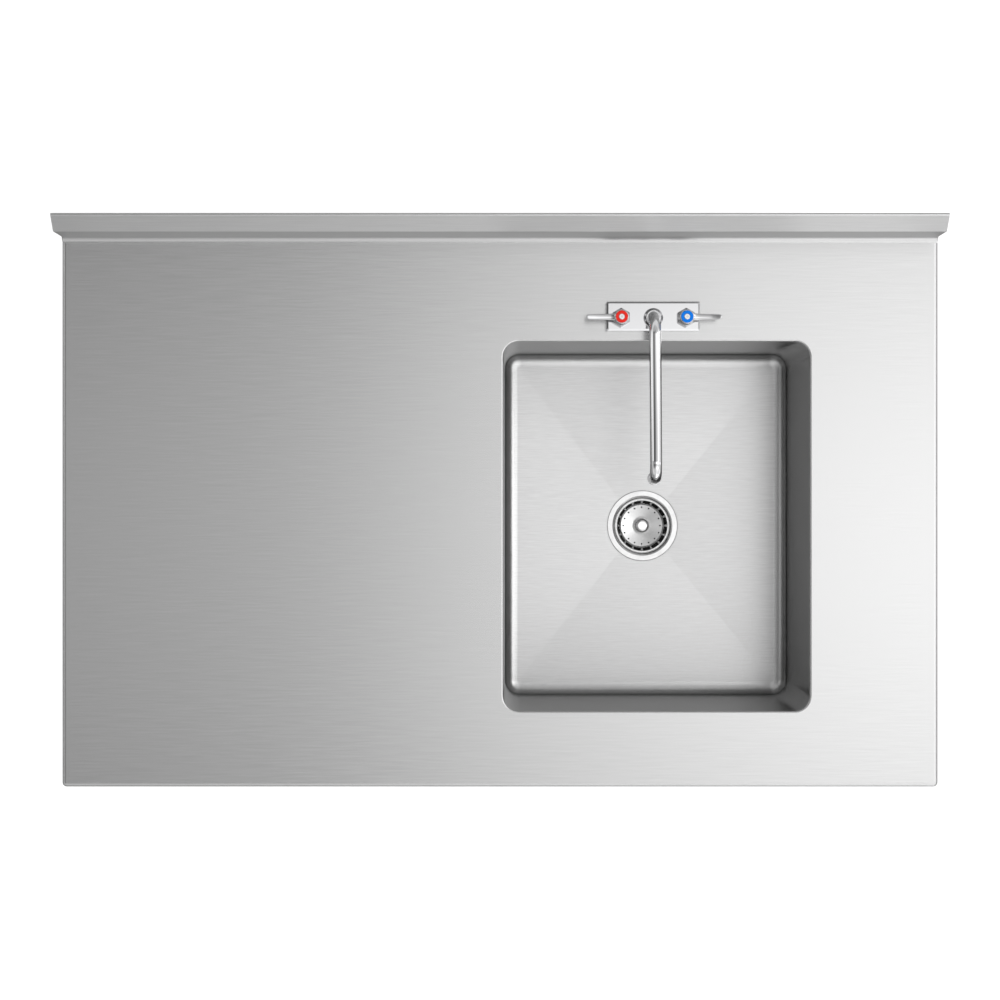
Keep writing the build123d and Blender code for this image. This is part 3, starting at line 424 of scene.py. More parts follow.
def steel_with_painted_throat_shade(name, color, roughness, throat=0.0432, lip=0.0012, painted_shade_depth=0.009):
    """Polished steel with painted shade: its colour darkens down inside the drain."""
    material, w, shader, place = new_material(name)
    marks = w.group(smudge_group(), Coordinates=place, Roughness=roughness, Amount=0.05, Size=0.012)
    # Painted shade: darker with depth inside the drain's throat.
    depth = w.math("SUBTRACT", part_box("strainer_body")[1].z, w.parts(place)["Z"])
    level = w.vector("MULTIPLY", w.vector("SUBTRACT", place, tuple(DRAIN)), (1.0, 1.0, 0.0))
    away = w.vector("LENGTH", level).outputs["Value"]
    painted_shade = w.add("ShaderNodeMix", {"data_type": "FLOAT"}, A=1.0,
                   Factor=w.math("LESS_THAN", away, throat),
                   B=w.ramp(depth, lip, painted_shade_depth, 1.0, 0.3))
    tone = w.scaled(tuple(color), painted_shade.outputs["Result"])
    w.fill(shader, Base_Color=tone, Roughness=marks.outputs["Roughness"], Metallic=1.0)
    return material


def grained(name, color, roughness, size, relief, contrast, **more):
    """A surface with a fine skin: its material, wiring and bump."""
    material, w, shader, place = new_material(name)
    skin = w.group(pit_group(), Coordinates=place, Color=grown(color), Roughness=roughness,
                   Size=size, Contrast=contrast)
    bump = w.add("ShaderNodeBump", Height=skin.outputs["Height"], Distance=relief, Strength=0.5)
    w.fill(shader, Base_Color=skin.outputs["Color"], Roughness=skin.outputs["Roughness"],
           Normal=bump, **more)
    return material, w, bump


def cast_metal(name, color, roughness, size=0.0012):
    """A cast, turned or pressed metal surface with softened edges."""
    material, w, bump = grained(name, color, roughness, size, 0.00006, 0.08, Metallic=1.0)
    w.feed(bump, "Normal", w.add("ShaderNodeBevel", {"samples": 4}, Radius=0.0005))
    return material


def moulded(name, color, roughness, shine=0.5, contrast=0.05):
    """Rubber, plastic, fibre or ceramic."""
    return grained(name, color, roughness, 0.0008, 0.00002, contrast,
                   Specular_IOR_Level=shine)[0]


def finishes():
    """How each finish is made: its maker, its colour, its roughness and what else it takes."""
    sheet = settings().sheet
    faucet = settings().faucet
    return {
        # Painted shade: the splash's face, the rolled edges and the bends of the top get a darker colour.
        "brushed_top": (brushed_steel, sheet.top_color, sheet.top_roughness, dict(
            contrast=0.11, grain_length=0.06, wall=0.74, crease_shade=0.74, bend=0.62, steep=0.3,
            edge=0.6)),
        # Painted light and shade: a lighter colour brightens the bowl's floor, and its walls and bends are
        # darkened much more.
        "brushed_bowl": (brushed_steel, sheet.bowl_color, 0.32, dict(
            anisotropy=0.55, contrast=0.18, grain_length=0.032, grain_width=0.0012, wall=0.52,
            crease_shade=0.3, edge=0.6)),
        "formed_steel": (brushed_steel, (0.6, 0.6, 0.61), 0.42, dict(
            anisotropy=0.4, contrast=0.1, grain_length=0.05, grain_width=0.003)),
        "leg_steel": (brushed_steel, (0.66, 0.66, 0.67), 0.3, dict(
            anisotropy=0.6, contrast=0.08, grain_length=0.02, grain_width=0.0008)),
        "shelf_steel": (brushed_steel, (0.66, 0.66, 0.67), 0.34, dict(contrast=0.08)),
        "foot_steel": (brushed_steel, (0.6, 0.6, 0.61), 0.3, dict(
            anisotropy=0.5, grain_length=0.02, grain_width=0.0006)),
        "cast_alloy": (cast_metal, (0.62, 0.62, 0.63), 0.42, {}),
        "weld": (cast_metal, (0.5, 0.5, 0.51), 0.35, dict(size=0.0008)),
        "screw_steel": (cast_metal, (0.55, 0.55, 0.56), 0.3, dict(size=0.0006)),
        "brass": (cast_metal, (0.7, 0.53, 0.28), 0.25, dict(size=0.0008)),
        # Painted shade down the drain's throat.
        "throat": (steel_with_painted_throat_shade, (0.72, 0.72, 0.72), 0.14, {}),
        "polished_steel": (plated, (0.8, 0.8, 0.8), 0.12, {}),
        # Painted light: a lighter copy of the polished steel, to brighten the basket's dish.
        "basket_steel": (plated, (0.92, 0.92, 0.92), 0.2, {}),
        "screen_steel": (plated, (0.5, 0.5, 0.5), 0.25, {}),
        "chrome": (plated, faucet.chrome_color, 0.05, {}),
        # Painted light: the spout's brighter copy of the chrome.
        "tube_chrome": (plated, faucet.tube_color, 0.05, {}),
        # Painted shade: a darker copy of the chrome for the bonnets, for the shade round the hubs.
        "hexagon_chrome": (plated, (0.48, 0.48, 0.49), 0.1, {}),
        "red_ring": (moulded, faucet.hot_color, 0.35, dict(shine=0.2)),
        "blue_ring": (moulded, faucet.cold_color, 0.35, dict(shine=0.2)),
        "rubber": (moulded, (0.045, 0.045, 0.045), 0.6, {}),
        "fibre": (moulded, (0.45, 0.38, 0.3), 0.85, dict(contrast=0.2)),
        "ceramic": (moulded, (0.85, 0.84, 0.8), 0.35, {}),
    }


def finish_of(name):
    """The material of a finish, made when it is first asked for."""
    title = "finish " + name
    found = bpy.data.materials.get(title)
    if found:
        return found
    make, color, roughness, more = finishes()[name]
    return make(title, color, roughness, **more)


SLOT_OF = {row["node"]: row["material_slot"] for row in frame["record"]["subparts"]}


def dress(*names, finish=None):
    """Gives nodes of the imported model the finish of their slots, or another one."""
    for name in names:
        mesh = nodes[name].data
        mesh.materials.clear()
        mesh.materials.append(finish_of(finish or SLOT_OF[name]))


def rounded(points, radii, steps=6):
    """An open outline whose corners are arcs: points, and a radius for each."""
    out = []
    last = len(points) - 1
    for place, (point, radius) in enumerate(zip(points, radii)):
        here = Vector(point)
        if place in (0, last) or radius <= 0:
            out.append(here)
            continue
        back = (Vector(points[place - 1]) - here).normalized()
        ahead = (Vector(points[place + 1]) - here).normalized()
        opening = back.angle(ahead)
        reach = radius / tan(opening / 2)
        centre = here + (back + ahead).normalized() * (radius / sin(opening / 2))
        start = here + back * reach - centre
        end = here + ahead * reach - centre
        sweep = pi - opening
        for step in range(steps + 1):
            share = step / steps
            arm = start * (sin((1 - share) * sweep) / sin(sweep))
            arm += end * (sin(share * sweep) / sin(sweep))
            out.append(centre + arm)
    return out


def plain_mesh(name, verts, faces):
    """A mesh of points and faces."""
    mesh = bpy.data.meshes.new(name)
    mesh.from_pydata([tuple(v) for v in verts], [], faces)
    return mesh


def linked(name, data):
    """A new object in the scene."""
    obj = bpy.data.objects.new(name, data)
    bpy.context.scene.collection.objects.link(obj)
    return obj


def finish_piece(name, mesh, slot, body, sharp=35.0, replaced=(), keep_materials=False):
    """Cleans a mesh, makes it an object, and gives it its finish and its body."""
    made = bmesh.new()
    made.from_mesh(mesh)
    bmesh.ops.remove_doubles(made, verts=made.verts, dist=1e-7)
    bmesh.ops.recalc_face_normals(made, faces=made.faces)
    for face in made.faces:
        face.smooth = True
    for edge in made.edges:
        edge.smooth = not (edge.is_manifold and edge.calc_face_angle() > radians(sharp))
    made.to_mesh(mesh)
    made.free()
    if not keep_materials:
        mesh.materials.clear()
        mesh.materials.append(finish_of(slot))
    obj = linked(name, mesh)
    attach(obj, body)
    if replaced:
        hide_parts(*replaced)
    return obj


def turned(profile, centre=(0.0, 0.0), segments=64):
    """Points and faces of a closed outline of (radius, height) turned about an upright axis."""
    verts = []
    faces = []
    count = len(profile)
    for step in range(segments):
        turn = 2 * pi * step / segments
        for radius, height in profile:
            verts.append((centre[0] + radius * cos(turn), centre[1] + radius * sin(turn), height))
    for step in range(segments):
        ahead = (step + 1) % segments
        for place in range(count):
            after = (place + 1) % count
            faces.append(
                (step * count + place, ahead * count + place, ahead * count + after,
                 step * count + after)
            )
    return verts, faces


def turned_piece(name, profile, centre, slot, body, sharp=35.0, replaced=(), segments=64):
    """A turned piece. Points on the axis are merged into one."""
    mesh = plain_mesh(name, *turned(profile, centre, segments))
    made = bmesh.new()
    made.from_mesh(mesh)
    bmesh.ops.remove_doubles(made, verts=made.verts, dist=1e-7)
    bmesh.ops.dissolve_degenerate(made, edges=made.edges, dist=1e-8)
    made.to_mesh(mesh)
    made.free()
    return finish_piece(name, mesh, slot, body, sharp, replaced)


def lofted(rings):
    """Points and faces of a closed shape through rings of the same count of points."""
    verts = [point for ring in rings for point in ring]
    count = len(rings[0])
    faces = []
    for place in range(len(rings) - 1):
        for step in range(count):
            ahead = (step + 1) % count
            low = place * count
            faces.append((low + step, low + ahead, low + count + ahead, low + count + step))
    last = (len(rings) - 1) * count
    faces.append(tuple(reversed(range(count))))
    faces.append(tuple(range(last, last + count)))
    return verts, faces


def between(rows, steps):
    """More rows along a list of rows of numbers, on a smooth curve through them."""
    out = []
    for place in range(len(rows) - 1):
        four = [rows[max(place - 1, 0)], rows[place], rows[place + 1],
                rows[min(place + 2, len(rows) - 1)]]
        for step in range(steps):
            t = step / steps
            row = []
            for a, b, c, d in zip(*four):
                row.append(0.5 * (2 * b + (c - a) * t + (2 * a - 5 * b + 4 * c - d) * t * t
                                  + (3 * b - a - 3 * c + d) * t ** 3))
            out.append(row)
    out.append(list(rows[-1]))
    return out


def geometry_tree(name, sockets):
    """An empty Geometry Nodes tree with named inputs: name, kind and default."""
    return new_tree("GeometryNodeTree", name, [*sockets, ("Material", "Material", None)],
                    [("Geometry", "Geometry")])


def close_tree(w, given, end, geometry):
    """Ends a tree: instances made real, and the material set."""
    real = w.add("GeometryNodeRealizeInstances", Geometry=geometry)
    dressed = w.add("GeometryNodeSetMaterial", Geometry=real, Material=given["Material"])
    w.feed(end, "Geometry", dressed)


def baked_piece(name, tree, values, slot, body, place=None, sharp=35.0, replaced=()):
    """The tree's result as a plain mesh in its place, riding on a body."""
    holder = linked(name + "_source", bpy.data.meshes.new(name + "_source"))
    modifier = holder.modifiers.new("shape", "NODES")
    given = {**values, "Material": finish_of(slot)}
    identifiers = {
        item.name: item.identifier
        for item in tree.interface.items_tree
        if item.item_type == "SOCKET" and item.in_out == "INPUT"
    }
    for label, value in given.items():
        if label not in identifiers:
            raise ValueError(f"{tree.name} has no input {label}")
    modifier.node_group = tree
    for label, value in given.items():
        modifier[identifiers[label]] = value
    graph = bpy.context.evaluated_depsgraph_get()
    mesh = bpy.data.meshes.new_from_object(holder.evaluated_get(graph), depsgraph=graph)
    holder.modifiers.remove(modifier)
    bpy.data.objects.remove(holder)
    if place is not None:
        mesh.transform(place)
    mesh.name = name
    return finish_piece(name, mesh, slot, body, sharp, replaced, keep_materials=True)


def repeated(w, given, points, **more):
    """The given thing at every point."""
    thing = w.add("GeometryNodeObjectInfo", Object=given["Thing"])
    return w.add("GeometryNodeInstanceOnPoints", Points=points,
                 Instance=thing.outputs["Geometry"], **more)


@made_once("thread ridge")
def thread_tree(name):
    """A ridge that winds up a cylinder."""
    w, given, end = geometry_tree(
        name,
        [("Radius", "Float", 0.01), ("Pitch", "Float", 0.0015), ("Depth", "Float", 0.0006),
         ("Height", "Float", 0.03)],
    )
    turns = w.math("DIVIDE", given["Height"], given["Pitch"])
    spiral = w.add(
        "GeometryNodeCurveSpiral", Resolution=40, Rotations=turns,
        Start_Radius=given["Radius"], End_Radius=given["Radius"],
        Height=given["Height"],
    )
    level = w.add("GeometryNodeSetCurveNormal", {"mode": "Z_UP"}, Curve=spiral)
    stretch = w.math("DIVIDE", w.math("MULTIPLY", given["Pitch"], 0.45),
                     given["Depth"])
    section = w.add("GeometryNodeTransform", Geometry=w.add(
        "GeometryNodeCurvePrimitiveCircle", Resolution=4, Radius=given["Depth"]))
    w.feed(section, "Scale", w.add("ShaderNodeCombineXYZ", X=1.0, Y=stretch, Z=1.0))
    ridge = w.add("GeometryNodeCurveToMesh", Curve=level, Profile_Curve=section, Fill_Caps=True)
    close_tree(w, given, end, ridge)
    return w.tree


@made_once("at the legs")
def corner_tree(name):
    """One thing repeated at the four legs, turned to face the table's middle."""
    w, given, end = geometry_tree(
        name,
        [("Thing", "Object", None), ("Width", "Float", 1.09), ("Depth", "Float", 0.665),
         ("Middle", "Vector", None)],
    )
    corners = w.add("GeometryNodeMeshGrid", Size_X=given["Width"],
                    Size_Y=given["Depth"], Vertices_X=2, Vertices_Y=2)
    spot = w.parts(w.add("GeometryNodeInputPosition"))
    way_x = w.math("MULTIPLY", w.math("SIGN", spot["X"]), -1.0)
    way_y = w.math("MULTIPLY", w.math("SIGN", spot["Y"]), -1.0)
    turn = w.add("ShaderNodeCombineXYZ", X=0.0, Y=0.0, Z=w.math("ARCTAN2", way_y, way_x))
    placed = repeated(w, given, corners, Rotation=turn)
    moved = w.add("GeometryNodeTransform", Geometry=placed, Translation=given["Middle"])
    close_tree(w, given, end, moved)
    return w.tree


@made_once("round a circle")
def circle_tree(name):
    """One thing repeated round an upright axis."""
    w, given, end = geometry_tree(
        name,
        [("Thing", "Object", None), ("Middle", "Vector", None), ("Count", "Int", 16)],
    )
    points = w.add("GeometryNodePoints", Count=given["Count"])
    share = w.math("DIVIDE", w.add("GeometryNodeInputIndex"), given["Count"])
    turn = w.add("ShaderNodeCombineXYZ", X=0.0, Y=0.0, Z=w.math("MULTIPLY", share, 2 * pi))
    placed = repeated(w, given, points, Rotation=turn)
    moved = w.add("GeometryNodeTransform", Geometry=placed, Translation=given["Middle"])
    close_tree(w, given, end, moved)
    return w.tree


@made_once("in a row")
def row_tree(name):
    """One thing repeated along a line at even steps."""
    w, given, end = geometry_tree(
        name,
        [("Thing", "Object", None), ("Start", "Vector", None), ("End", "Vector", None),
         ("Step", "Float", 0.06), ("Size", "Vector", None)],
    )
    line = w.add("GeometryNodeCurvePrimitiveLine", Start=given["Start"],
                 End=given["End"])
    points = w.add("GeometryNodeCurveToPoints", {"mode": "LENGTH"}, Curve=line,
                   Length=given["Step"])
    close_tree(w, given, end, repeated(w, given, points, Scale=given["Size"]))
    return w.tree


@made_once("bent tube")
def tube_tree(name):
    """A bent tube: riser, arm and drop, with a wall and open ends."""
    w, given, end = geometry_tree(
        name,
        [("Foot", "Vector", None), ("Knee", "Vector", None), ("Crown", "Vector", None),
         ("End", "Vector", None), ("Knee Radius", "Float", 0.032),
         ("Crown Radius", "Float", 0.025), ("Radius", "Float", 0.00825),
         ("Wall", "Float", 0.0015)],
    )
    points = w.add("GeometryNodeMeshLine", Count=4)
    index = w.add("GeometryNodeInputIndex")
    place = w.add("GeometryNodeIndexSwitch", {"data_type": "VECTOR"})
    for _ in range(2):
        place.index_switch_items.new()
    w.feed(place, "Index", index)
    for n, label in enumerate(("Foot", "Knee", "Crown", "End"), 1):
        w.feed(place, f"i{n}", given[label])
    laid = w.add("GeometryNodeSetPosition", Geometry=points, Position=place)
    path = w.add("GeometryNodeMeshToCurve", Mesh=laid)
    bend = w.add("GeometryNodeIndexSwitch", {"data_type": "FLOAT"})
    for _ in range(2):
        bend.index_switch_items.new()
    w.feed(bend, "Index", index)
    w.feed(bend, "i2", given["Knee Radius"])
    w.feed(bend, "i3", given["Crown Radius"])
    smooth = w.add("GeometryNodeFilletCurve", {"mode": "POLY"}, Curve=path, Radius=bend)
    smooth.inputs["Count"].default_value = 22
    tubes = []
    for shrink in (0.0, 1.0):
        inner = w.math("MULTIPLY", given["Wall"], shrink)
        section = w.add("GeometryNodeCurvePrimitiveCircle", Resolution=48,
                        Radius=w.math("SUBTRACT", given["Radius"], inner))
        tubes.append(w.add("GeometryNodeCurveToMesh", Curve=smooth, Profile_Curve=section))
    both = w.add("GeometryNodeJoinGeometry")
    turned_in = w.add("GeometryNodeFlipFaces", Mesh=tubes[1])
    w.tree.links.new(tubes[0].outputs[0], both.inputs[0])
    w.tree.links.new(turned_in.outputs[0], both.inputs[0])
    close_tree(w, given, end, both)
    return w.tree


def tone_curve(w, value, stops):
    """A grey tone from a value between -1 and 1, read off a list of places and tones."""
    ramp = w.add("ShaderNodeValToRGB", Fac=w.ramp(value, -1.0, 1.0, 0.0, 1.0))
    elements = ramp.color_ramp.elements
    elements[0].position = 0.0
    elements[1].position = 1.0
    for place, tone in stops[1:-1]:
        elements.new((place + 1) / 2)
    for element, (place, tone) in zip(elements, stops):
        element.color = (tone, tone, tone, 1.0)
    return ramp.outputs["Color"]


# The studio's tones across, from the left to the right
ACROSS = (
    (-1.0, 0.12), (-0.67, 0.18), (-0.42, 0.3), (-0.28, 0.35), (-0.2, 0.4), (-0.07, 0.54),
    (-0.035, 0.7), (0.0, 0.92), (0.12, 1.3), (0.18, 1.37), (0.26, 1.41), (0.87, 1.41), (1.0, 1.2),
)

# How those tones fade from the front to the rear
FADE = (
    (-1.0, 1.15), (-0.75, 0.8), (-0.55, 0.95), (-0.35, 0.85), (-0.22, 0.58), (-0.14, 0.6),
    (-0.07, 1.1), (0.0, 1.44), (0.07, 0.96), (0.14, 0.42), (0.22, 0.46), (0.3, 0.8), (0.38, 0.8),
    (0.45, 0.42), (0.59, 0.16), (0.7, 0.1), (0.82, 0.3), (0.92, 0.3), (1.0, 0.1),
)

# What the front panel and the narrow panels at both sides add
FRONT_PANEL = ((-1.0, 0.0), (-0.8, 0.1), (-0.6, 0.2), (-0.5, 0.18), (-0.3, 0.0), (1.0, 0.0))
SIDE_PANEL = ((-1.0, 1.4), (-0.8, 1.4), (-0.7, 0.0), (0.5, 0.0), (0.62, 1.0), (1.0, 1.3))
SIDE_PANEL_PLACE = ((-1.0, 0.0), (0.1, 0.0), (0.16, 1.0), (0.4, 1.0), (0.5, 0.0), (1.0, 0.0))

# How much of the pale backdrop metal shows, by height, and by height and place along
LOW_BACKDROP = ((-1.0, 0.0), (0.1, 0.0), (0.2, 0.9), (0.45, 0.9), (0.66, 0.0), (1.0, 0.0))
HIGH_BACKDROP = ((-1.0, 0.0), (0.1, 0.0), (0.2, 0.55), (0.76, 0.55), (0.88, 0.0), (1.0, 0.0))
BESIDE_FRONT = ((-1.0, 0.0), (-0.93, 0.0), (-0.8, 1.0), (1.0, 1.0))
FRONT_AND_REAR = (
    (-1.0, 0.0), (-0.93, 0.0), (-0.85, 1.0), (-0.52, 1.0), (-0.44, 0.0), (0.44, 0.0), (0.52, 1.0),
    (1.0, 1.0),
)


def sky():
    """The studio round the table: bright to the right and the front, dark to the left.

    Metal also shows an even pale backdrop low all round.
    """
    world = bpy.data.worlds.new("studio")
    bpy.context.scene.world = world
    world.use_nodes = True
    w = Wiring(world.node_tree)
    back = world.node_tree.nodes["Background"]
    across, along, up = w.parts(w.add("ShaderNodeTexCoord").outputs["Generated"])
    light = w.vector("MULTIPLY", tone_curve(w, across, ACROSS), tone_curve(w, along, FADE))
    light = w.vector("ADD", light, tone_curve(w, along, FRONT_PANEL))
    side = w.vector("MULTIPLY", tone_curve(w, across, SIDE_PANEL),
                    tone_curve(w, along, SIDE_PANEL_PLACE))
    light = w.vector("ADD", light, side)
    ways = w.add("ShaderNodeLightPath").outputs
    low = w.math("MULTIPLY", tone_curve(w, up, LOW_BACKDROP), tone_curve(w, along, BESIDE_FRONT))
    high = w.math("MULTIPLY", tone_curve(w, up, HIGH_BACKDROP),
                  tone_curve(w, along, FRONT_AND_REAR))
    share = w.math("MULTIPLY", w.math("MAXIMUM", low, high), ways["Is Glossy Ray"])
    shown = w.add("ShaderNodeMix", {"data_type": "RGBA"}, Factor=share)
    w.fill(shown, i6=light, i7=grown(settings().studio.backdrop))
    color = w.add("ShaderNodeMix", {"data_type": "RGBA"}, Factor=ways["Is Camera Ray"])
    w.fill(color, i6=shown.outputs[2], i7=(1.0, 1.0, 1.0, 1.0))
    w.feed(back, "Color", color.outputs[2])


def loose_thing(name, verts, faces):
    """An object that is only the pattern of a repeated piece."""
    return linked(name, plain_mesh(name, verts, faces))


def drop_thing(obj):
    """Removes a pattern after its repeats are made."""
    mesh = obj.data
    bpy.data.objects.remove(obj)
    bpy.data.meshes.remove(mesh)


def join_meshes(name, parts):
    """One mesh from several lists of points and faces."""
    verts = []
    faces = []
    for part_verts, part_faces in parts:
        shift = len(verts)
        verts.extend(part_verts)
        faces.extend(tuple(index + shift for index in face) for face in part_faces)
    return plain_mesh(name, verts, faces)


def socket_screw(start, end, radius):
    """A grub screw along X with a six-sided socket in its far end."""
    edge = 0.0005
    depth = 0.002
    way = 1 if end > start else -1
    hexagon = []
    circle = []
    for step in range(24):
        turn = 2 * pi * step / 24
        circle.append((cos(turn), sin(turn)))
        within = (turn + pi / 6) % (pi / 3) - pi / 6
        reach = 0.5 * radius / cos(within)
        hexagon.append((reach * cos(turn), reach * sin(turn)))
    rings = [
        [(start, radius * 0.9 * c, radius * 0.9 * s) for c, s in circle],
        [(start + way * edge, radius * c, radius * s) for c, s in circle],
        [(end - way * edge, radius * c, radius * s) for c, s in circle],
        [(end, (radius - edge) * c, (radius - edge) * s) for c, s in circle],
        [(end, y, z) for y, z in hexagon],
        [(end - way * depth, y, z) for y, z in hexagon],
    ]
    return lofted(rings)


def corner_screws(name, node, start, end, body):
    """Grub screws at the four legs in the place of a node."""
    low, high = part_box(node)
    at_low, at_high = leg_places()
    thing = loose_thing(name + "_pattern",
                        *socket_screw(start, end, settings().base.screw_radius))
    values = {
        "Thing": thing,
        "Width": at_high.x - at_low.x,
        "Depth": at_high.y - at_low.y,
        "Middle": (0.0, (at_low.y + at_high.y) / 2, (low.z + high.z) / 2),
    }
    baked_piece(name, corner_tree(), values, "screw_steel", body, replaced=(node,))
    drop_thing(thing)


class SINK_OT_stage(bpy.types.Operator):
    """Make the floor, the light and the camera"""

    bl_idname = "sink_table.stage"
    bl_label = "Stage"

    def execute(self, context):
        studio = settings().studio
        self.floor(studio)
        sky()
        self.lamp(studio)
        self.camera(context, studio)
        context.scene.view_settings.view_transform = "Standard"
        return {"FINISHED"}

    def floor(self, studio):
        reach = studio.floor_reach
        corners = [(-reach, -reach, 0), (reach, -reach, 0), (reach, reach, 0), (-reach, reach, 0)]
        mesh = plain_mesh("floor", corners, [(0, 1, 2, 3)])
        material, w, shader, _ = new_material("pale floor")
        ways = w.add("ShaderNodeLightPath").outputs
        straight = w.math("MAXIMUM", ways["Is Camera Ray"], ways["Is Transmission Ray"])
        shown = w.math("MAXIMUM", straight,
                       w.math("MULTIPLY", ways["Is Glossy Ray"], studio.floor_reflected))
        w.fill(shader, Base_Color=grown(studio.floor_color), Roughness=0.9,
               Emission_Color=(1.0, 1.0, 1.0, 1.0),
               Emission_Strength=w.math("MULTIPLY", shown, studio.floor_glow))
        mesh.materials.append(material)
        obj = linked("floor", mesh)

    def lamp(self, studio):
        data = bpy.data.lights.new("soft_lamp", "AREA")
        data.shape = "DISK"
        data.size = 2.0
        data.energy = studio.lamp_energy
        lamp = linked("soft_lamp", data)
        lamp.location = (1.5, -1.5, 4.0)
        lamp.rotation_euler = (Vector((0, 0, 0.7)) - lamp.location).to_track_quat(
            "-Z", "Y").to_euler()
        lamp.visible_glossy = False
        lamp.visible_camera = False

    def camera(self, context, studio):
        data = bpy.data.cameras.new("camera")
        data.lens = studio.lens
        camera = linked("camera", data)
        camera.location = (0.0, studio.camera_y, TOP_Z + studio.camera_height)
        context.scene.camera = camera


class SINK_OT_sheet(bpy.types.Operator):
    """Finish the top, the splash and the bowl"""

    bl_idname = "sink_table.sheet"
    bl_label = "Top and bowl"

    def execute(self, context):
        dress("worktop", "splash_end_left", "splash_end_right", "sink_bowl")
        return {"FINISHED"}


class SINK_OT_under_frame(bpy.types.Operator):
    """Finish the channels, the sockets, the legs and the feet"""

    bl_idname = "sink_table.under_frame"
    bl_label = "Frame and legs"

    def execute(self, context):
        dress(*[n for n in nodes if n.startswith(("channel_", "leg_", "foot_", "socket_"))])
        sizes = settings().base
        corner_screws("socket_screws", "socket_set_screws", sizes.leg_radius,
                      sizes.leg_radius + sizes.socket_screw, "table")
        self.spot_welds(sizes)
        self.weld_beads(sizes)
        for corner in CORNERS:
            self.foot(corner, sizes)
        return {"FINISHED"}

    def spot_welds(self, sizes):
        profile = [(0.0, -0.00032), (0.0012, -0.0003), (0.0022, -0.0001), (0.003, -0.0002),
                   (0.0036, 0.0), (0.0, 0.0)]
        thing = loose_thing("spot_pattern", *turned(profile, segments=16))
        for name in ("front", "rear", "left", "right", "middle"):
            low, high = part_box(f"channel_{name}")
            level = high.z - sizes.sheet
            for side in (-1, 1):
                if name in ("left", "right"):
                    x = (low.x + high.x) / 2 + side * sizes.spot_line
                    start = (x, low.y + sizes.spot_margin, level)
                    end = (x, high.y - sizes.spot_margin, level)
                else:
                    y = (low.y + high.y) / 2 + side * sizes.spot_line
                    start = (low.x + sizes.spot_margin, y, level)
                    end = (high.x - sizes.spot_margin, y, level)
                values = {"Thing": thing, "Start": start, "End": end, "Step": sizes.spot_step,
                          "Size": (1.0, 1.0, 1.0)}
                mark = "front" if side < 0 else "rear"
                baked_piece(f"spots_{name}_{mark}", row_tree(), values, "formed_steel", "table",
                            sharp=60.0)
        drop_thing(thing)

    def weld_beads(self, sizes):
        at_low, at_high = leg_places()
        seam_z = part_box("leg_sockets")[1].z
        half = sizes.plate_half
        rings = []
        for ring in range(1, 6):
            turn = pi * ring / 6
            rings.append([
                (sin(turn) * cos(2 * pi * step / 10), sin(turn) * sin(2 * pi * step / 10),
                 cos(turn))
                for step in range(10)
            ])
        thing = loose_thing("bead_pattern", *lofted(rings))
        for row, y in (("front", at_low.y), ("rear", at_high.y)):
            for column, x in (("left", at_low.x), ("right", at_high.x)):
                for side in (-1, 1):
                    start = (x - half + sizes.bead_margin, y + side * half, seam_z)
                    end = (x + half - sizes.bead_margin, y + side * half, seam_z)
                    values = {"Thing": thing, "Start": start, "End": end,
                              "Step": sizes.bead_step, "Size": (0.0014, 0.0017, 0.0017)}
                    mark = "a" if side < 0 else "b"
                    baked_piece(f"bead_{row}_{column}_{mark}", row_tree(), values,
                                "weld", "table", sharp=80.0)
        drop_thing(thing)

    def foot(self, corner, sizes):
        low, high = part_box(f"foot_{corner}")
        x = (low.x + high.x) / 2
        y = (low.y + high.y) / 2
        core = sizes.stem_radius - sizes.stem_depth
        top = low.z + sizes.foot_height
        outline = rounded(
            [(0.0, low.z), (sizes.foot_tip, low.z),
             (sizes.foot_radius, low.z + sizes.foot_taper), (sizes.foot_radius, top),
             (core, top), (core, high.z - 0.001), (core - 0.001, high.z), (0.0, high.z)],
            [0, 0.003, 0.012, 0.0015, 0.0004, 0, 0, 0],
        )
        turned_piece(f"foot_{corner}_body", [tuple(p) for p in outline], (x, y), "foot_steel",
                     f"foot_{corner}", replaced=(f"foot_{corner}",), segments=72)
        values = {"Radius": core, "Pitch": sizes.stem_pitch, "Depth": sizes.stem_depth,
                  "Height": high.z - top - 0.003}
        baked_piece(f"foot_{corner}_thread", thread_tree(), values, "foot_steel",
                    f"foot_{corner}", place=Matrix.Translation((x, y, top + 0.0015)))


class SINK_OT_shelf(bpy.types.Operator):
    """Finish the shelf, its clamps and its bolts"""

    bl_idname = "sink_table.shelf"
    bl_label = "Shelf"

    def execute(self, context):
        dress("undershelf", "shelf_clamps", "shelf_bolts", "clamp_set_screws")
        sizes = settings().base
        start = -sizes.leg_radius - sizes.clamp_gap
        corner_screws("clamp_screws", "clamp_set_screws", start, start - sizes.clamp_screw,
                      "shelf")
        return {"FINISHED"}


class SINK_OT_drain(bpy.types.Operator):
    """Finish the drain and its pipe"""

    bl_idname = "sink_table.drain"
    bl_label = "Drain"

    def execute(self, context):
        dress("strainer_body", "drain_gasket", "drain_friction_ring", "drain_locknut",
              "tailpiece_washer", "tailpiece", "tailpiece_nut")
        # The strainer gets the steel with painted shade down its throat.
        dress("strainer_body", finish="throat")
        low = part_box("drain_locknut")[0].z - 0.0004
        sizes = settings().drain
        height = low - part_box("strainer_body")[1].z + sizes.bare_neck
        values = {"Radius": sizes.thread_radius, "Pitch": sizes.thread_pitch,
                  "Depth": sizes.thread_depth, "Height": height}
        baked_piece("strainer_thread", thread_tree(), values, "polished_steel", "table",
                    place=Matrix.Translation((DRAIN.x, DRAIN.y, low - height)))
        return {"FINISHED"}


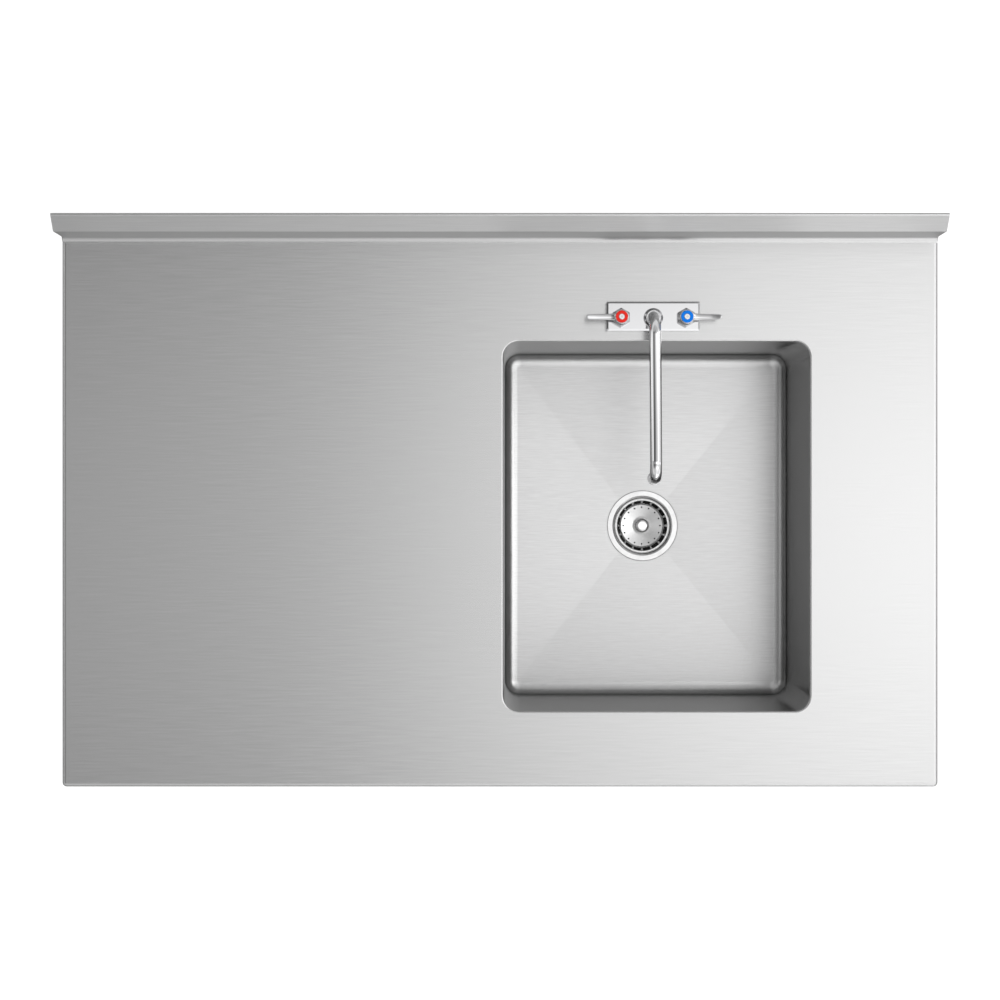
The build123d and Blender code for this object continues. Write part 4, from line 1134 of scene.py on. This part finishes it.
class SINK_OT_basket(bpy.types.Operator):
    """Finish the lift-out basket"""

    bl_idname = "sink_table.basket"
    bl_label = "Basket"

    def execute(self, context):
        dress("basket_knob", "basket_post", "basket_stopper")
        # The basket's cup and ribs get the lighter copy of polished steel: painted light.
        dress("basket_cup", finish="basket_steel")
        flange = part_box("strainer_body")[1].z
        thing = loose_thing("rib_pattern", *self.rib())
        values = {"Thing": thing, "Middle": (DRAIN.x, DRAIN.y, flange), "Count": 16}
        baked_piece("basket_ribs", circle_tree(), values, "basket_steel", "basket", sharp=60.0)
        drop_thing(thing)
        return {"FINISHED"}

    def rib(self):
        """A rounded rib that runs down the basket's wall between two slots."""
        top = Vector((0.0378, 0.0, -0.0095))
        low = Vector((0.0345, 0.0, -0.0222))
        radius = settings().drain.rib_radius
        rings = []
        for share, size in ((0.0, 0.05), (0.03, 0.6), (0.09, 0.9), (0.16, 1.0), (0.84, 1.0),
                            (0.91, 0.9), (0.97, 0.6), (1.0, 0.05)):
            spot = low.lerp(top, share)
            rings.append([
                (spot.x + radius * size * cos(2 * pi * step / 16),
                 radius * size * sin(2 * pi * step / 16), spot.z)
                for step in range(16)
            ])
        return lofted(rings)


class SINK_OT_faucet(bpy.types.Operator):
    """Finish the faucet's body, valves and inlets"""

    bl_idname = "sink_table.faucet"
    bl_label = "Faucet body"

    def execute(self, context):
        dress("faucet_gasket", "faucet_body", "shank_washers", "shank_locknuts", "spout_nut",
              "spout_o_ring", "aerator_shell", "aerator_screen")
        for side in ("hot", "cold"):
            dress(*[f"{side}_{part}" for part in (
                "bonnet", "cartridge", "stem", "lever", "index", "screw", "shank")])
            # The bonnets get the darker copy of the chrome: painted shade round the hubs.
            dress(f"{side}_bonnet", finish="hexagon_chrome")
            self.lever(side)
            self.thread(side)
        return {"FINISHED"}

    def lever(self, side):
        """A smooth handle: a turned hub and a blade that rises to a rounded tip."""
        sizes = settings().faucet
        x, y, _ = middle(f"{side}_stem")
        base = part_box(f"{side}_bonnet")[1].z + 0.0005
        top = base + sizes.hub_height
        seat = base + sizes.bore_height
        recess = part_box(f"{side}_index")[0].z
        crown = rounded([(sizes.hub_bore, base), (sizes.hub_radius, base), (0.0099, top),
                         (sizes.ring_seat, top), (sizes.ring_seat, recess)],
                        [0, 0.0005, 0.0013, 0.0003, 0])
        profile = [tuple(p) for p in crown]
        profile += [(sizes.screw_hole, recess), (sizes.screw_hole, seat), (sizes.hub_bore, seat)]
        hub = turned(profile, (x, y), 72)
        rows = [
            (0.0088, 0.0126, 0.0074, 0.0), (0.0105, 0.0108, 0.0062, 0.0),
            (0.0135, 0.0092, 0.0049, 0.0), (0.022, 0.0082, 0.0046, 0.0002),
            (0.034, 0.0075, 0.0046, 0.0006), (0.0405, 0.0072, 0.0044, 0.0013),
            (0.0451, 0.0066, 0.0041, 0.0023), (0.0473, 0.0054, 0.0034, 0.0028),
            (0.0482, 0.0038, 0.0024, 0.003), (0.0485, 0.0014, 0.0009, 0.0031),
        ]
        way = -1 if side == "hot" else 1
        level = base + sizes.blade_height
        rings = []
        for reach, width, thick, rise in between(rows, 5):
            ring = []
            for step in range(32):
                turn = 2 * pi * step / 32
                over = abs(cos(turn)) ** 0.7 * (1 if cos(turn) >= 0 else -1)
                up = abs(sin(turn)) ** 0.7 * (1 if sin(turn) >= 0 else -1)
                ring.append((x + way * reach, y + width / 2 * over, level + rise + thick / 2 * up))
            rings.append(ring)
        mesh = join_meshes(f"{side}_handle", [hub, lofted(rings)])
        finish_piece(f"{side}_handle_piece", mesh, "chrome", f"{side}_handle", 40.0,
                     (f"{side}_lever",))

    def thread(self, side):
        """The winding ridges of an inlet pipe, below its nut and on its lower end."""
        sizes = settings().faucet
        x, y, _ = middle(f"{side}_shank")
        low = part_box(f"{side}_shank")[0].z
        nut_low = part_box("shank_locknuts")[0].z
        bare = low + 0.022
        for label, radius, start, end in (
            ("upper", 0.0106, bare, nut_low), ("lower", 0.0102, low, bare),
        ):
            values = {"Radius": radius - 0.0001, "Pitch": sizes.inlet_pitch,
                      "Depth": sizes.inlet_depth, "Height": end - start - 0.004}
            baked_piece(f"{side}_{label}_thread", thread_tree(), values, "brass", "table",
                        place=Matrix.Translation((x, y, start + 0.002)))


class SINK_OT_spout(bpy.types.Operator):
    """Bend the spout"""

    bl_idname = "sink_table.spout"
    bl_label = "Spout"

    def execute(self, context):
        sizes = settings().faucet
        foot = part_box("spout_nut")[0].z
        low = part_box("aerator_shell")[0].z
        values = {
            "Foot": (RISER.x, RISER.y, foot),
            "Knee": (RISER.x, RISER.y, TOP_Z + sizes.knee_height),
            "Crown": (RISER.x, TIP.y, TOP_Z + sizes.crown_height),
            "End": (RISER.x, TIP.y, low + 0.0065),
            "Knee Radius": sizes.knee_radius,
            "Crown Radius": sizes.crown_radius,
            "Radius": sizes.tube_radius,
            "Wall": sizes.tube_wall,
        }
        # The spout gets the brighter copy of the chrome: painted light.
        baked_piece("spout_bend", tube_tree(), values, "tube_chrome", "spout",
                    replaced=("spout_tube",))
        return {"FINISHED"}


OPERATORS = (
    SINK_OT_stage, SINK_OT_sheet, SINK_OT_under_frame, SINK_OT_shelf, SINK_OT_drain,
    SINK_OT_basket, SINK_OT_faucet, SINK_OT_spout,
)


class SINK_PT_panel(bpy.types.Panel):
    """The steps that dress the sink table"""

    bl_label = "Sink Table"
    bl_space_type = "VIEW_3D"
    bl_region_type = "UI"
    bl_category = "Sink Table"

    def draw(self, context):
        for operator in OPERATORS:
            self.layout.operator(operator.bl_idname)


CLASSES = (StudioSettings, SheetSettings, FaucetSettings, DrainSettings, BaseSettings,
           SinkTableSettings, *OPERATORS, SINK_PT_panel)


def register():
    """Registers the classes and the scene's settings."""
    for item in CLASSES:
        bpy.utils.register_class(item)
    bpy.types.Scene.sink_table = PointerProperty(type=SinkTableSettings)


def unregister():
    """Removes the settings and the classes."""
    del bpy.types.Scene.sink_table
    for item in reversed(CLASSES):
        bpy.utils.unregister_class(item)


def main():
    """Dresses the table."""
    register()
    for operator in OPERATORS:
        group, call = operator.bl_idname.split(".")
        getattr(getattr(bpy.ops, group), call)()


if __name__ == "__main__":
    main()
